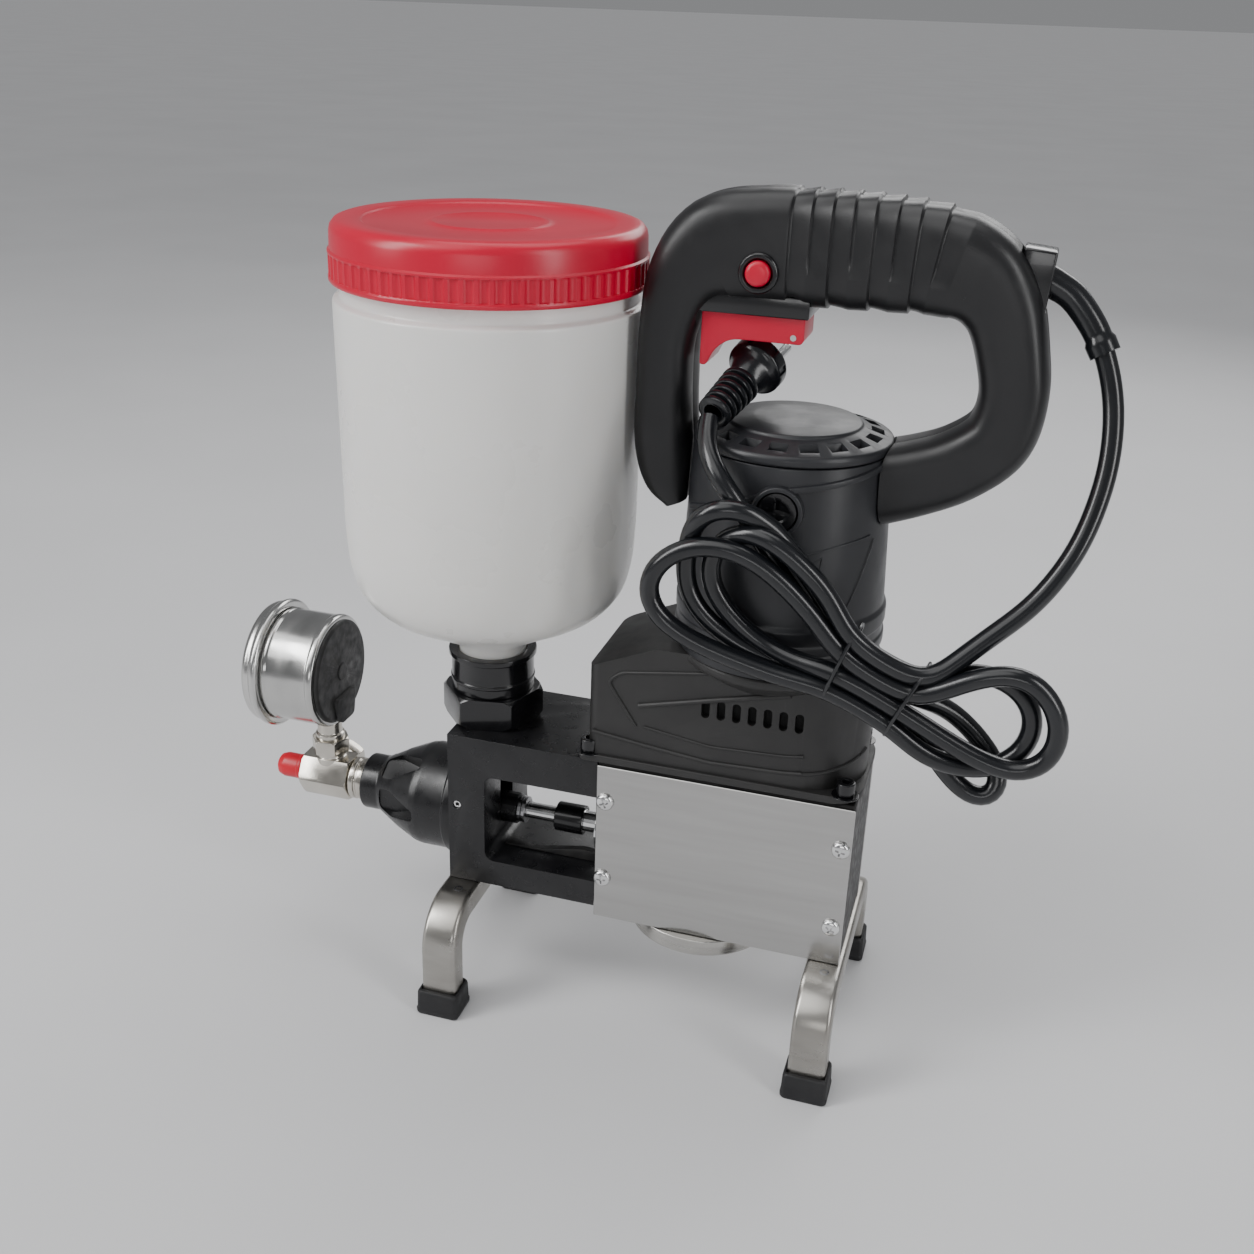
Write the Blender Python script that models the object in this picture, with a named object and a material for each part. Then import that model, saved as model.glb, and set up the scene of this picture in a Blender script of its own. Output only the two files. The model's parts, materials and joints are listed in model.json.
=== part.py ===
"""Electric plunger pump for injection resin: hopper, pump block, crank drive, drill motor and handle.

Every size is in millimetres and is turned into metres as a mesh is made. +Z is up, the feet stand on
Z = 0, X runs from the outlet (-X) to the cord end of the handle (+X), and -Y is the front.
"""

import math

import bmesh
import bpy
from mathutils import Matrix, Vector

MM = 0.001
GAP = 0.3                 # clearance between two pieces that touch

# main axes
PUMP_Z = 88.0             # plunger, valve and outlet share this line along X
HOPPER_X = -61.5
CRANK_X = 52.5
MOTOR_X = 79.5
GAUGE_Z = 149.6

# bodies
BLOCK = ((-73.7, -30.5, 59.5), (3.7, 30.5, 141.8))
WINDOW = ((-54.5, 73.5), (6.0, 121.5))
HOUSING = ((4.0, -30.4, 55.2), (126.8, 30.4, 141.5))
HOUSING_WALL = 6.0
PLATE = 1.4
CASE_BOTTOM, CASE_FLANGE, CASE_TOP = 141.8, 147.6, 204.7
CASE_WALL = 3.0
CASE_Y = 31.0

# motor
MOTOR_BASE, MOTOR_TOP = 205.0, 300.0
MOTOR_BORE = 41.0
BRUSH_Z = 281.8
BRUSH_ANGLE = math.radians(-86.0)

# crank drive
STROKE = 8.0
ECCENTRIC_R = 12.0
SHAFT_R = 7.6
ROD_HALF = 5.0            # half thickness of the connecting rod
ROD_LENGTH = 20.5
STAGE_1 = (8, 27, 0.9)    # teeth of pinion, teeth of gear, module
STAGE_2 = (9, 28, 1.2)
PRESSURE_ANGLE = math.radians(20.0)

# legs
LEG_WIDTH, LEG_DEPTH, LEG_WALL = 18.0, 13.0, 1.6
LEG_Y = 58.0
LEG_BEND = 24.0
LEGS = {"left_leg_arch": (-66.5, 59.2), "right_leg_arch": (120.5, 54.9)}

# hopper and lid
NECK_R = 16.5
HOPPER_WALL = 2.6
LID_R = 70.6
LID_BOTTOM, LID_TOP = 357.5, 383.5

# gauge
GAUGE_BACK_X, GAUGE_FRONT_X = -147.5, -186.3
GAUGE_R, BEZEL_R = 29.5, 33.5
TEE_X = (-168.4, -141.4)
STEM_X = -154.5

# cord
CORD_D = 8.4
HANK_BACK, HANK_FRONT = -48.6, -66.0

# lays an outline of (x, z) points upright, its depth running towards -Y
UPRIGHT = Matrix.Rotation(math.pi / 2, 4, "X")

COLOURS = {
    "black_paint": ((0.022, 0.022, 0.024), 0.42, 0.0),
    "stainless": ((0.62, 0.61, 0.59), 0.22, 1.0),
    "brushed": ((0.55, 0.53, 0.50), 0.35, 1.0),
    "nickel": ((0.66, 0.62, 0.56), 0.25, 1.0),
    "steel": ((0.45, 0.45, 0.46), 0.32, 1.0),
    "zinc": ((0.72, 0.72, 0.72), 0.28, 1.0),
    "charcoal": ((0.050, 0.049, 0.050), 0.55, 0.0),
    "motor_grey": ((0.040, 0.042, 0.048), 0.45, 0.0),
    "handle_black": ((0.018, 0.018, 0.020), 0.40, 0.0),
    "gloss_black": ((0.010, 0.010, 0.011), 0.25, 0.0),
    "red": ((0.72, 0.012, 0.025), 0.28, 0.0),
    "hdpe": ((0.83, 0.82, 0.80), 0.35, 0.0),
    "rubber": ((0.013, 0.013, 0.014), 0.65, 0.0),
    "cord_black": ((0.012, 0.012, 0.014), 0.30, 0.0),
    "copper": ((0.62, 0.28, 0.14), 0.35, 1.0),
    "brass": ((0.72, 0.50, 0.18), 0.30, 1.0),
    "carbon": ((0.03, 0.03, 0.03), 0.60, 0.0),
    "white": ((0.85, 0.85, 0.83), 0.45, 0.0),
    "lens": ((0.80, 0.84, 0.84), 0.05, 0.0),
    "orange": ((0.75, 0.20, 0.05), 0.40, 0.0),
}


def clear_scene():
    for old in list(bpy.data.objects):
        bpy.data.objects.remove(old, do_unlink=True)


def material(slot):
    found = bpy.data.materials.get(slot)
    if found:
        return found
    colour, roughness, metallic = COLOURS[slot]
    made = bpy.data.materials.new(slot)
    made.use_nodes = True
    shader = made.node_tree.nodes["Principled BSDF"]
    shader.inputs["Base Color"].default_value = (*colour, 1.0)
    shader.inputs["Roughness"].default_value = roughness
    shader.inputs["Metallic"].default_value = metallic
    return made


def add_object(name, mesh, slot, origin=(0, 0, 0)):
    obj = bpy.data.objects.new(name, mesh)
    obj.location = Vector(origin) * MM
    bpy.context.scene.collection.objects.link(obj)
    if slot:
        mesh.materials.append(material(slot))
    else:
        obj.hide_render = True
        obj.display_type = "WIRE"
    return obj


def to_object(name, bm, slot, origin=(0, 0, 0), smooth=True):
    """Turn a bmesh in millimetres into an object in metres; without a slot it is a cutter."""
    bmesh.ops.remove_doubles(bm, verts=bm.verts, dist=0.0005)
    bmesh.ops.recalc_face_normals(bm, faces=bm.faces)
    shift = Matrix.Scale(MM, 4) @ Matrix.Translation(-Vector(origin))
    bm.transform(shift)
    mesh = bpy.data.meshes.new(name)
    bm.to_mesh(mesh)
    bm.free()
    if smooth:
        mesh.shade_smooth()
        mesh.set_sharp_from_angle(angle=math.radians(35))
    return add_object(name, mesh, slot, origin)


def subtract(obj, *cutters, solver="EXACT"):
    for cutter in cutters:
        step = obj.modifiers.new("cut_" + cutter.name, "BOOLEAN")
        step.operation = "DIFFERENCE"
        step.solver = solver
        step.object = cutter


def unite(obj, *tools):
    for tool in tools:
        step = obj.modifiers.new("join_" + tool.name, "BOOLEAN")
        step.operation = "UNION"
        step.solver = "EXACT"
        step.object = tool


def axis_frame(axis, centre):
    """Matrix that lays local Z along an axis letter and local X along the next axis."""
    letter = "xyz".index(axis)
    z = Vector((0, 0, 0))
    z[letter] = 1.0
    x = Vector((0, 0, 0))
    x[(letter + 1) % 3] = 1.0
    rotation = Matrix((x, z.cross(x), z)).transposed().to_4x4()
    return Matrix.Translation(Vector(centre)) @ rotation


def direction_frame(direction, centre):
    turn = Vector(direction).to_track_quat("Z", "Y").to_matrix().to_4x4()
    return Matrix.Translation(Vector(centre)) @ turn


def add_box(bm, low, high):
    low, high = Vector(low), Vector(high)
    made = bmesh.ops.create_cube(bm, size=1.0)["verts"]
    size = high - low
    bmesh.ops.scale(bm, vec=size, verts=made)
    bmesh.ops.translate(bm, vec=(low + high) / 2, verts=made)
    return made


def add_prism(bm, outline, low, high, frame=None):
    """Extrude a closed outline of (x, y) points from low to high along local Z."""
    frame = frame or Matrix.Identity(4)
    rings = [[bm.verts.new(frame @ Vector((x, y, z))) for x, y in outline] for z in (low, high)]
    count = len(outline)
    for i in range(count):
        j = (i + 1) % count
        bm.faces.new((rings[0][i], rings[0][j], rings[1][j], rings[1][i]))
    bm.faces.new(rings[0][::-1])
    bm.faces.new(rings[1])


def add_lathe(bm, profile, frame=None, segments=32, closed=False):
    """Turn (radius, height) points about local Z; a radius of 0 is a pole, closed makes a ring."""
    frame = frame or Matrix.Identity(4)
    rings = []
    for radius, height in profile:
        if radius == 0:
            rings.append([bm.verts.new(frame @ Vector((0, 0, height)))])
            continue
        ring = []
        for i in range(segments):
            a = math.tau * i / segments
            ring.append(bm.verts.new(frame @ Vector((radius * math.cos(a), radius * math.sin(a), height))))
        rings.append(ring)
    pairs = list(zip(rings, rings[1:]))
    if closed:
        pairs.append((rings[-1], rings[0]))
    for low, high in pairs:
        for i in range(segments):
            j = (i + 1) % segments
            corners = [low[i % len(low)], low[j % len(low)], high[j % len(high)], high[i % len(high)]]
            unique = list(dict.fromkeys(corners))
            if len(unique) > 2:
                bm.faces.new(unique)


def add_loft(bm, sections):
    """Join closed sections of equal point count and cap both ends."""
    rings = [[bm.verts.new(Vector(p)) for p in section] for section in sections]
    count = len(rings[0])
    for low, high in zip(rings, rings[1:]):
        for i in range(count):
            j = (i + 1) % count
            bm.faces.new((low[i], low[j], high[j], high[i]))
    bm.faces.new(rings[0][::-1])
    bm.faces.new(rings[-1])


def tube_profile(inner, outer, low, high, chamfer=0.0):
    """Closed (radius, height) profile of a plain ring, chamfered on its outer edges."""
    if chamfer:
        rim = [
            (outer - chamfer, low), (outer, low + chamfer), (outer, high - chamfer), (outer - chamfer, high)
        ]
    else:
        rim = [(outer, low), (outer, high)]
    return [(inner, low), *rim, (inner, high)]


def rod_profile(radius, low, high, chamfer=0.0):
    """Profile of a solid round bar with its ends closed."""
    if chamfer:
        side = [
            (radius - chamfer, low), (radius, low + chamfer), (radius, high - chamfer),
            (radius - chamfer, high)
        ]
    else:
        side = [(radius, low), (radius, high)]
    return [(0, low), *side, (0, high)]


def lathe(name, profile, slot, axis="z", centre=(0, 0, 0), segments=32, closed=False, origin=(0, 0, 0)):
    bm = bmesh.new()
    add_lathe(bm, profile, axis_frame(axis, centre), segments, closed)
    return to_object(name, bm, slot, origin)


def box(name, low, high, slot, bevel=0.0, origin=(0, 0, 0)):
    bm = bmesh.new()
    add_box(bm, low, high)
    if bevel:
        bmesh.ops.bevel(bm, geom=list(bm.edges), offset=bevel, segments=1, affect="EDGES")
    return to_object(name, bm, slot, origin, smooth=False)


def hexagon(across_corners, turn=0.0):
    radius = across_corners / 2
    angles = [turn + math.tau * i / 6 for i in range(6)]
    return [(radius * math.cos(a), radius * math.sin(a)) for a in angles]


def rounded_rectangle(low, high, radius, steps=4):
    """Outline of a rectangle with round corners, anticlockwise; radius may be one number or four."""
    radii = radius if isinstance(radius, (tuple, list)) else (radius,) * 4
    corners = [(high[0], high[1]), (low[0], high[1]), (low[0], low[1]), (high[0], low[1])]
    outline = []
    for quarter, ((x, y), r) in enumerate(zip(corners, radii)):
        cx = x - r if quarter in (0, 3) else x + r
        cy = y - r if quarter in (0, 1) else y + r
        for i in range(steps + 1):
            a = math.pi / 2 * (quarter + i / steps)
            outline.append((cx + r * math.cos(a), cy + r * math.sin(a)))
    return outline


def smooth_line(points, steps):
    """Catmull-Rom curve through points of any dimension, with steps pieces between each pair."""
    ends = [[2 * a - b for a, b in zip(points[0], points[1])], *points]
    ends.append([2 * a - b for a, b in zip(points[-1], points[-2])])
    line = []
    for k in range(1, len(ends) - 2):
        p0, p1, p2, p3 = ends[k - 1:k + 3]
        for i in range(steps):
            t = i / steps
            point = []
            for a, b, c, d in zip(p0, p1, p2, p3):
                curve = (2 * a - 5 * b + 4 * c - d) * t * t + (3 * b - a - 3 * c + d) * t ** 3
                point.append(0.5 * (2 * b + (c - a) * t + curve))
            line.append(point)
    line.append(list(points[-1]))
    return line


# ---------------------------------------------------------------- gears

def gear_outline(teeth, module, phase, addendum, backlash):
    """Anticlockwise involute outline with a tooth centred on the phase angle."""
    pitch = teeth * module / 2
    base = pitch * math.cos(PRESSURE_ANGLE)
    root = pitch - 1.15 * module
    tip = pitch + addendum * module
    involute = math.tan(PRESSURE_ANGLE) - PRESSURE_ANGLE
    half = math.pi / (2 * teeth) - backlash / (2 * pitch)

    def half_angle(radius):
        if radius <= base:
            return half + involute
        a = math.acos(base / radius)
        return half + involute - (math.tan(a) - a)

    flank = [(root, half_angle(root)), (pitch, half), (tip, half_angle(tip))]
    outline = []
    for k in range(teeth):
        middle = phase + math.tau * k / teeth
        for radius, angle in flank:
            outline.append((radius * math.cos(middle - angle), radius * math.sin(middle - angle)))
        for radius, angle in reversed(flank):
            outline.append((radius * math.cos(middle + angle), radius * math.sin(middle + angle)))
    return outline


def layshaft_place():
    """Layshaft axis, where both gear centre distances meet behind the motor and crank axes."""
    reach_1 = STAGE_1[2] * (STAGE_1[0] + STAGE_1[1]) / 2
    reach_2 = STAGE_2[2] * (STAGE_2[0] + STAGE_2[1]) / 2
    span = MOTOR_X - CRANK_X
    along = (reach_2 ** 2 - reach_1 ** 2 + span ** 2) / (2 * span)
    return CRANK_X + along, math.sqrt(reach_2 ** 2 - along ** 2)


LAY_X, LAY_Y = layshaft_place()
TO_LAY = math.atan2(LAY_Y, LAY_X - CRANK_X)          # crank axis to layshaft
TO_MOTOR = math.atan2(-LAY_Y, MOTOR_X - LAY_X)       # layshaft to motor axis


def make_crank():
    origin = (CRANK_X, 0, 0)
    throw = STROKE / 2
    bm = bmesh.new()
    add_lathe(bm, rod_profile(SHAFT_R, 50.0, 165.0, 1.0), axis_frame("z", origin), 24)
    shaft = to_object("crank_shaft", bm, "steel", origin)
    bm = bmesh.new()
    place = axis_frame("z", (CRANK_X + throw, 0, 0))
    add_lathe(bm, rod_profile(ECCENTRIC_R, PUMP_Z - ROD_HALF, PUMP_Z + ROD_HALF), place, 32)
    unite(shaft, to_object("eccentric_tool", bm, None, origin))
    bm = bmesh.new()
    outline = gear_outline(STAGE_2[1], STAGE_2[2], TO_LAY, 0.75, 0.35)
    add_prism(bm, outline, 148.0, 158.0, Matrix.Translation(origin))
    gear = to_object("crank_gear", bm, "steel", origin, smooth=False)
    subtract(
        gear,
        lathe("crank_gear_bore", rod_profile(SHAFT_R + GAP, 140, 170), None, centre=origin, segments=24)
    )


def make_layshaft():
    origin = (LAY_X, LAY_Y, 0)
    place = Matrix.Translation(origin)
    bm = bmesh.new()
    add_lathe(bm, rod_profile(4.0, 136.2, 202.0, 0.5), place, 16)
    shaft = to_object("layshaft", bm, "steel", origin, smooth=False)
    bm = bmesh.new()
    add_prism(
        bm, gear_outline(STAGE_2[0], STAGE_2[2], TO_LAY + math.pi + math.pi / STAGE_2[0], 0.75, 0.35),
        146.5, 159.5, place
    )
    pinion = to_object("lay_pinion_tool", bm, None, origin)
    bm = bmesh.new()
    add_prism(bm, gear_outline(STAGE_1[1], STAGE_1[2], TO_MOTOR, 0.7, 0.35), 176.0, 184.0, place)
    gear = to_object("lay_gear_tool", bm, None, origin)
    unite(shaft, pinion, gear)


def make_armature():
    origin = (MOTOR_X, 0, 0)
    place = Matrix.Translation(origin)
    profile = [
        (0, 171.0), (2.0, 171.0), (2.0, 189.0), (4.0, 189.0), (4.0, 222.0), (24.0, 222.0), (24.0, 262.0),
        (9.0, 262.0), (9.0, 270.0), (14.0, 270.0), (14.0, 291.0), (4.0, 291.0), (4.0, 299.5), (0, 299.5),
    ]
    bm = bmesh.new()
    add_lathe(bm, profile, place, 24)
    armature = to_object("armature", bm, "copper", origin)
    bm = bmesh.new()
    outline = gear_outline(STAGE_1[0], STAGE_1[2], TO_MOTOR + math.pi + math.pi / STAGE_1[0], 0.7, 0.35)
    add_prism(bm, outline, 173.0, 187.0, place)
    unite(armature, to_object("motor_pinion_tool", bm, None, origin))


def make_fan():
    origin = (MOTOR_X, 0, 0)
    place = Matrix.Translation(origin)
    fan = lathe(
        "cooling_fan", tube_profile(4.3, 36.0, 208.0, 210.0), "gloss_black", centre=origin, segments=24,
        closed=True, origin=origin
    )
    blades = bmesh.new()
    for k in range(6):
        turn = Matrix.Rotation(math.tau * k / 6, 4, "Z")
        made = add_box(blades, (12.0, -1.0, 209.0), (35.0, 1.0, 219.0))
        bmesh.ops.transform(blades, matrix=place @ turn, verts=made)
    hub = lathe(
        "fan_hub_tool", tube_profile(4.3, 14.0, 208.5, 219.0), None, centre=origin, segments=16, closed=True
    )
    unite(fan, to_object("fan_blades_tool", blades, None, origin), hub)


# ---------------------------------------------------------------- crank mechanism

def make_connecting_rod():
    big = (CRANK_X + STROKE / 2, 0, 0)
    small_x = big[0] - ROD_LENGTH
    low, high = PUMP_Z - ROD_HALF, PUMP_Z + ROD_HALF
    rod = box("connecting_rod", (small_x, -4.0, low), (big[0] - 13.5, 4.0, high), "steel", origin=big)
    ring = lathe("rod_big_end_tool", rod_profile(16.5, low, high), None, centre=big, segments=32)
    eye = lathe("rod_eye_tool", rod_profile(5.5, low, high), None, centre=(small_x, 0, 0), segments=20)
    unite(rod, ring, eye)
    profile = rod_profile(ECCENTRIC_R + GAP, low - 2, high + 2)
    subtract(rod, lathe("rod_big_bore", profile, None, centre=big, segments=32))


def make_crosshead():
    """Guided rod with an open fork round the connecting rod's small end."""
    fork_low, fork_high = 18.5, 42.0
    outer, inner = ROD_HALF + 3.5, ROD_HALF + GAP
    stem = [(0, -26.0), (6.4, -26.0), (7.2, -25.2), (7.2, -11.5), (5.4, -11.5), (5.4, 20.0), (0, 20.0)]
    head = lathe("crosshead", stem, "zinc", axis="x", centre=(0, 0, PUMP_Z), segments=18)
    fork = box("fork_tool", (fork_low, -9.0, PUMP_Z - outer), (fork_high, 9.0, PUMP_Z + outer), None)
    throat = box(
        "fork_throat", (fork_low + 3.5, -12.0, PUMP_Z - inner), (fork_high + 5, 12.0, PUMP_Z + inner), None
    )
    unite(head, fork)
    subtract(head, throat)


def make_plunger():
    lathe(
        "plunger", rod_profile(4.0, -68.0, -26.3, 0.5), "zinc", axis="x", centre=(0, 0, PUMP_Z), segments=20
    )


def make_seals():
    lathe(
        "gland_nut", tube_profile(4.3, 8.0, -58.0, -46.8, 0.6), "black_paint", axis="x",
        centre=(0, 0, PUMP_Z), segments=20, closed=True
    )
    packing = [
        (4.3, -46.5), (6.8, -46.5), (6.8, -44.9), (6.0, -44.6), (6.8, -44.3), (6.8, -42.7), (4.3, -42.7)
    ]
    lathe("packing_ring", packing, "steel", axis="x", centre=(0, 0, PUMP_Z), segments=20, closed=True)
    bush = [(5.7, -2.6), (13.5, -2.6), (13.5, 3.7), (9.7, 3.7), (9.7, 10.0), (5.7, 10.0)]
    lathe("guide_bush", bush, "zinc", axis="x", centre=(0, 0, PUMP_Z), segments=24, closed=True)


# ---------------------------------------------------------------- block and housing

def make_block():
    block = box("pump_block", *BLOCK, "black_paint", bevel=0.9)
    outline = rounded_rectangle(
        (WINDOW[0][0], WINDOW[0][1]), (WINDOW[1][0] + 12, WINDOW[1][1]), (0.5, 5.0, 5.0, 0.5), 4
    )
    bm = bmesh.new()
    add_prism(bm, outline, -40, 40, UPRIGHT)
    window = to_object("window_cut", bm, None)
    chamber = lathe(
        "chamber_cut", rod_profile(8.3, -80, -50), None, axis="x", centre=(0, 0, PUMP_Z), segments=24
    )
    inlet = lathe("inlet_cut", rod_profile(11.0, 92, 150), None, centre=(HOPPER_X, 0, 0), segments=24)
    grub = lathe(
        "grub_cut", rod_profile(2.1, -32, -26), None, axis="y", centre=(-69.3, 0, 102.5), segments=12
    )
    subtract(block, window, chamber, inlet, grub)


def make_housing():
    (x0, y0, z0), (x1, y1, z1) = HOUSING
    housing = box("crank_housing", *HOUSING, "black_paint", bevel=0.8)
    wall = HOUSING_WALL
    cavity = box("housing_cavity", (x0 + wall, -40, z0 + wall), (x1 - wall, 40, z1 - wall), None)
    crank = (CRANK_X, 0, 0)
    foot_bore = lathe(
        "foot_bore", rod_profile(20.0, z0 - 5, z0 + wall + 5), None, centre=crank, segments=28
    )
    head_bore = lathe(
        "head_bore", rod_profile(14.0, z1 - wall - 5, z1 + 5), None, centre=crank, segments=24
    )
    lay_bore = lathe(
        "lay_bore", rod_profile(4.3, z1 - wall - 5, z1 + 5), None, centre=(LAY_X, LAY_Y, 0), segments=16
    )
    guide = lathe(
        "guide_bore", rod_profile(10.0, 0, 15), None, axis="x", centre=(0, 0, PUMP_Z), segments=24
    )
    subtract(housing, cavity, foot_bore, head_bore, lay_bore, guide)


def make_plates():
    for name, y in (("front_cover_plate", -30.7 - PLATE), ("rear_cover_plate", 30.7)):
        box(name, (4.0, y, 55.2), (127.1, y + PLATE, 140.2), "stainless", bevel=0.3)


def make_bearing_cover():
    profile = [
        (0, 45.0), (35.2, 45.0), (36.4, 46.2), (36.4, 54.9), (20.3, 54.9), (20.3, 49.6), (0, 49.6),
    ]
    lathe("bearing_cover", profile, "stainless", centre=(CRANK_X, 0, 0), segments=32)


def make_bearings():
    rings = {
        "crank_lower_bearing": ((CRANK_X, 0), SHAFT_R, 19.7, 50.4, 60.4),
        "crank_upper_bearing": ((CRANK_X, 0), SHAFT_R, 13.7, 135.8, 141.4),
        "motor_lower_bearing": ((MOTOR_X, 0), 4.0, 8.7, 196.8, 204.0),
        "motor_upper_bearing": ((MOTOR_X, 0), 4.0, 6.7, 293.0, 299.5),
    }
    for name, ((x, y), inner, outer, low, high) in rings.items():
        profile = tube_profile(inner + GAP, outer, low, high)
        lathe(name, profile, "steel", centre=(x, y, 0), segments=20, closed=True)


# ---------------------------------------------------------------- legs and feet

def leg_centreline(top):
    """(y, z, angle) along the arch, from the front foot to the back foot."""
    radius = LEG_BEND - LEG_DEPTH / 2
    cy, cz = -LEG_Y + radius, top - LEG_BEND
    half = [(-LEG_Y, 3.0, 0.0)]
    for i in range(5):
        a = math.pi / 2 * i / 4
        half.append((cy - radius * math.cos(a), cz + radius * math.sin(a), a))
    return half + [(-y, z, math.pi - a) for y, z, a in reversed(half)]


def make_leg(name, x, top):
    chamfer = 1.6
    rings = []
    for y, z, a in leg_centreline(top):
        out = Vector((0, -math.cos(a), math.sin(a)))
        for width, depth, cut in (
            (LEG_WIDTH / 2, LEG_DEPTH / 2, chamfer),
            (LEG_WIDTH / 2 - LEG_WALL, LEG_DEPTH / 2 - LEG_WALL, 0.8)
        ):
            corners = [
                (width - cut, depth), (width, depth - cut), (width, cut - depth), (width - cut, -depth),
                (cut - width, -depth), (-width, cut - depth), (-width, depth - cut), (cut - width, depth),
            ]
            rings.append([Vector((x + u, y, z)) + out * v for u, v in corners])
    outer, inner = rings[0::2], rings[1::2]
    bm = bmesh.new()
    loops = [[[bm.verts.new(p) for p in ring] for ring in skin] for skin in (outer, inner)]
    for skin in loops:
        for low, high in zip(skin, skin[1:]):
            for i in range(8):
                j = (i + 1) % 8
                bm.faces.new((low[i], low[j], high[j], high[i]))
    for end in (0, -1):
        for i in range(8):
            j = (i + 1) % 8
            bm.faces.new((loops[0][end][i], loops[0][end][j], loops[1][end][j], loops[1][end][i]))
    to_object(name, bm, "brushed")


def make_feet():
    for leg, (x, _) in LEGS.items():
        for side, end in ((-1, "front"), (1, "rear")):
            y = side * LEG_Y
            outer = [
                (x + u, y + side * 0.3 + v) for u,
                v in rounded_rectangle((-11.3, -9.5), (11.3, 9.5), 1.6, 1)
            ]
            inner = [(x + u, y + v) for u, v in rounded_rectangle((-9.3, -6.8), (9.3, 6.8), 0.6, 1)]
            upper = [(x + (u - x) * 0.94, y + (v - y) * 0.94) for u, v in outer]
            bm = bmesh.new()
            rings = [(outer, 0.0), (outer, 3.0), (upper, 13.5), (inner, 13.5), (inner, 2.7)]
            add_loft(bm, [[(u, v, z) for u, v in ring] for ring, z in rings])
            to_object(f"{leg.split('_')[0]}_{end}_foot", bm, "rubber", smooth=False)


# ---------------------------------------------------------------- gear case

def case_outline(inset):
    """Plan of the gear case: square at the left, half round at the right about the motor side."""
    low = (-2.0 + inset, -CASE_Y + inset)
    high = (127.0 - inset, CASE_Y - inset)
    right = CASE_Y - inset - 0.5
    left = max(6.0 - inset, 1.0)
    return rounded_rectangle(low, high, (right, left, left, right), 6)


def make_gear_case():
    bm = bmesh.new()
    add_prism(bm, case_outline(0.0), CASE_BOTTOM + GAP, CASE_TOP)
    case = to_object("gear_case", bm, "charcoal")
    bm = bmesh.new()
    add_prism(
        bm, rounded_rectangle((-6.0, -32.4), (128.5, 32.4), (10, 4, 4, 10), 2), CASE_BOTTOM + GAP,
        CASE_FLANGE
    )
    flange = to_object("flange_tool", bm, None)
    slope = box_slope()
    bm = bmesh.new()
    add_prism(bm, case_outline(CASE_WALL), CASE_BOTTOM - 5, 186.0)
    hollow = to_object("case_hollow", bm, None)
    upper = lathe(
        "case_upper_hollow", rod_profile(25.0, 180.0, 196.0), None, centre=(MOTOR_X - 5, 0, 0), segments=24
    )
    motor_bore = lathe(
        "case_motor_bore", rod_profile(9.0, 190.0, 210.0), None, centre=(MOTOR_X, 0, 0), segments=20
    )
    lay_bore = lathe(
        "case_lay_bore", rod_profile(4.3, 190.0, 202.5), None, centre=(LAY_X, LAY_Y, 0), segments=16
    )
    unite(case, flange)
    subtract(case, slope, hollow, upper, motor_bore, lay_bore, make_slots())


def box_slope():
    """Wedge that slopes the case's top down towards the left end."""
    bm = bmesh.new()
    outline = [(-12.0, 186.5), (34.0, CASE_TOP), (34.0, 220.0), (-12.0, 220.0)]
    add_prism(bm, outline, -50, 50, UPRIGHT)
    return to_object("slope_cut", bm, None)


def make_slots():
    """Seven upright vent slots through the front wall."""
    bm = bmesh.new()
    for k in range(7):
        x = 54.6 + 7.2 * k
        outline = rounded_rectangle((x - 1.9, 174.4), (x + 1.9, 183.6), 1.8, 1)
        add_prism(bm, outline, CASE_Y - CASE_WALL - 3, CASE_Y + 3, UPRIGHT)
    return to_object("slot_cut", bm, None)


# ---------------------------------------------------------------- motor

def make_motor():
    profile = [
        (MOTOR_BORE, MOTOR_BASE), (46.5, MOTOR_BASE), (47.5, 213.0), (47.5, 228.0), (46.0, 230.5),
        (43.0, MOTOR_TOP), (38.5, MOTOR_TOP), (38.5, 290.0), (MOTOR_BORE, 286.0),
    ]
    motor = lathe("motor_housing", profile, "motor_grey", centre=(MOTOR_X, 0, 0), segments=32, closed=True)
    for side in (0, math.pi):
        a = BRUSH_ANGLE + side
        out = (math.cos(a), math.sin(a), 0)
        place = direction_frame(out, (MOTOR_X, 0, BRUSH_Z))
        label = "front" if side == 0 else "rear"
        tools = []
        for kind, radius, low, high in (
            ("boss", 10.6, 40.5, 46.3), ("pocket", 8.9, 43.2, 50.0), ("bore", 4.8, 35.0, 50.0)
        ):
            bm = bmesh.new()
            add_lathe(bm, rod_profile(radius, low, high), place, 14)
            tools.append(to_object(f"brush_{kind}_{label}", bm, None))
        unite(motor, tools[0])
        subtract(motor, tools[1], tools[2])


def make_top_cap():
    profile = [
        (7.0, 292.5), (10.0, 292.5), (10.0, 300.3), (43.0, 300.3), (43.4, 302.0), (43.0, 304.2),
        (29.0, 309.5), (0, 311.2), (0, 308.0), (7.0, 308.0),
    ]
    cap = lathe("motor_top_cap", profile, "motor_grey", centre=(MOTOR_X, 0, 0), segments=32)
    close_pole_profile(cap)


def close_pole_profile(obj):
    """Join the last turned ring to the first, for a profile that has a pole on each side."""
    bm = bmesh.new()
    bm.from_mesh(obj.data)
    open_edges = [e for e in bm.edges if e.is_boundary]
    bmesh.ops.bridge_loops(bm, edges=open_edges)
    bmesh.ops.recalc_face_normals(bm, faces=bm.faces)
    bm.to_mesh(obj.data)
    bm.free()


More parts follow.
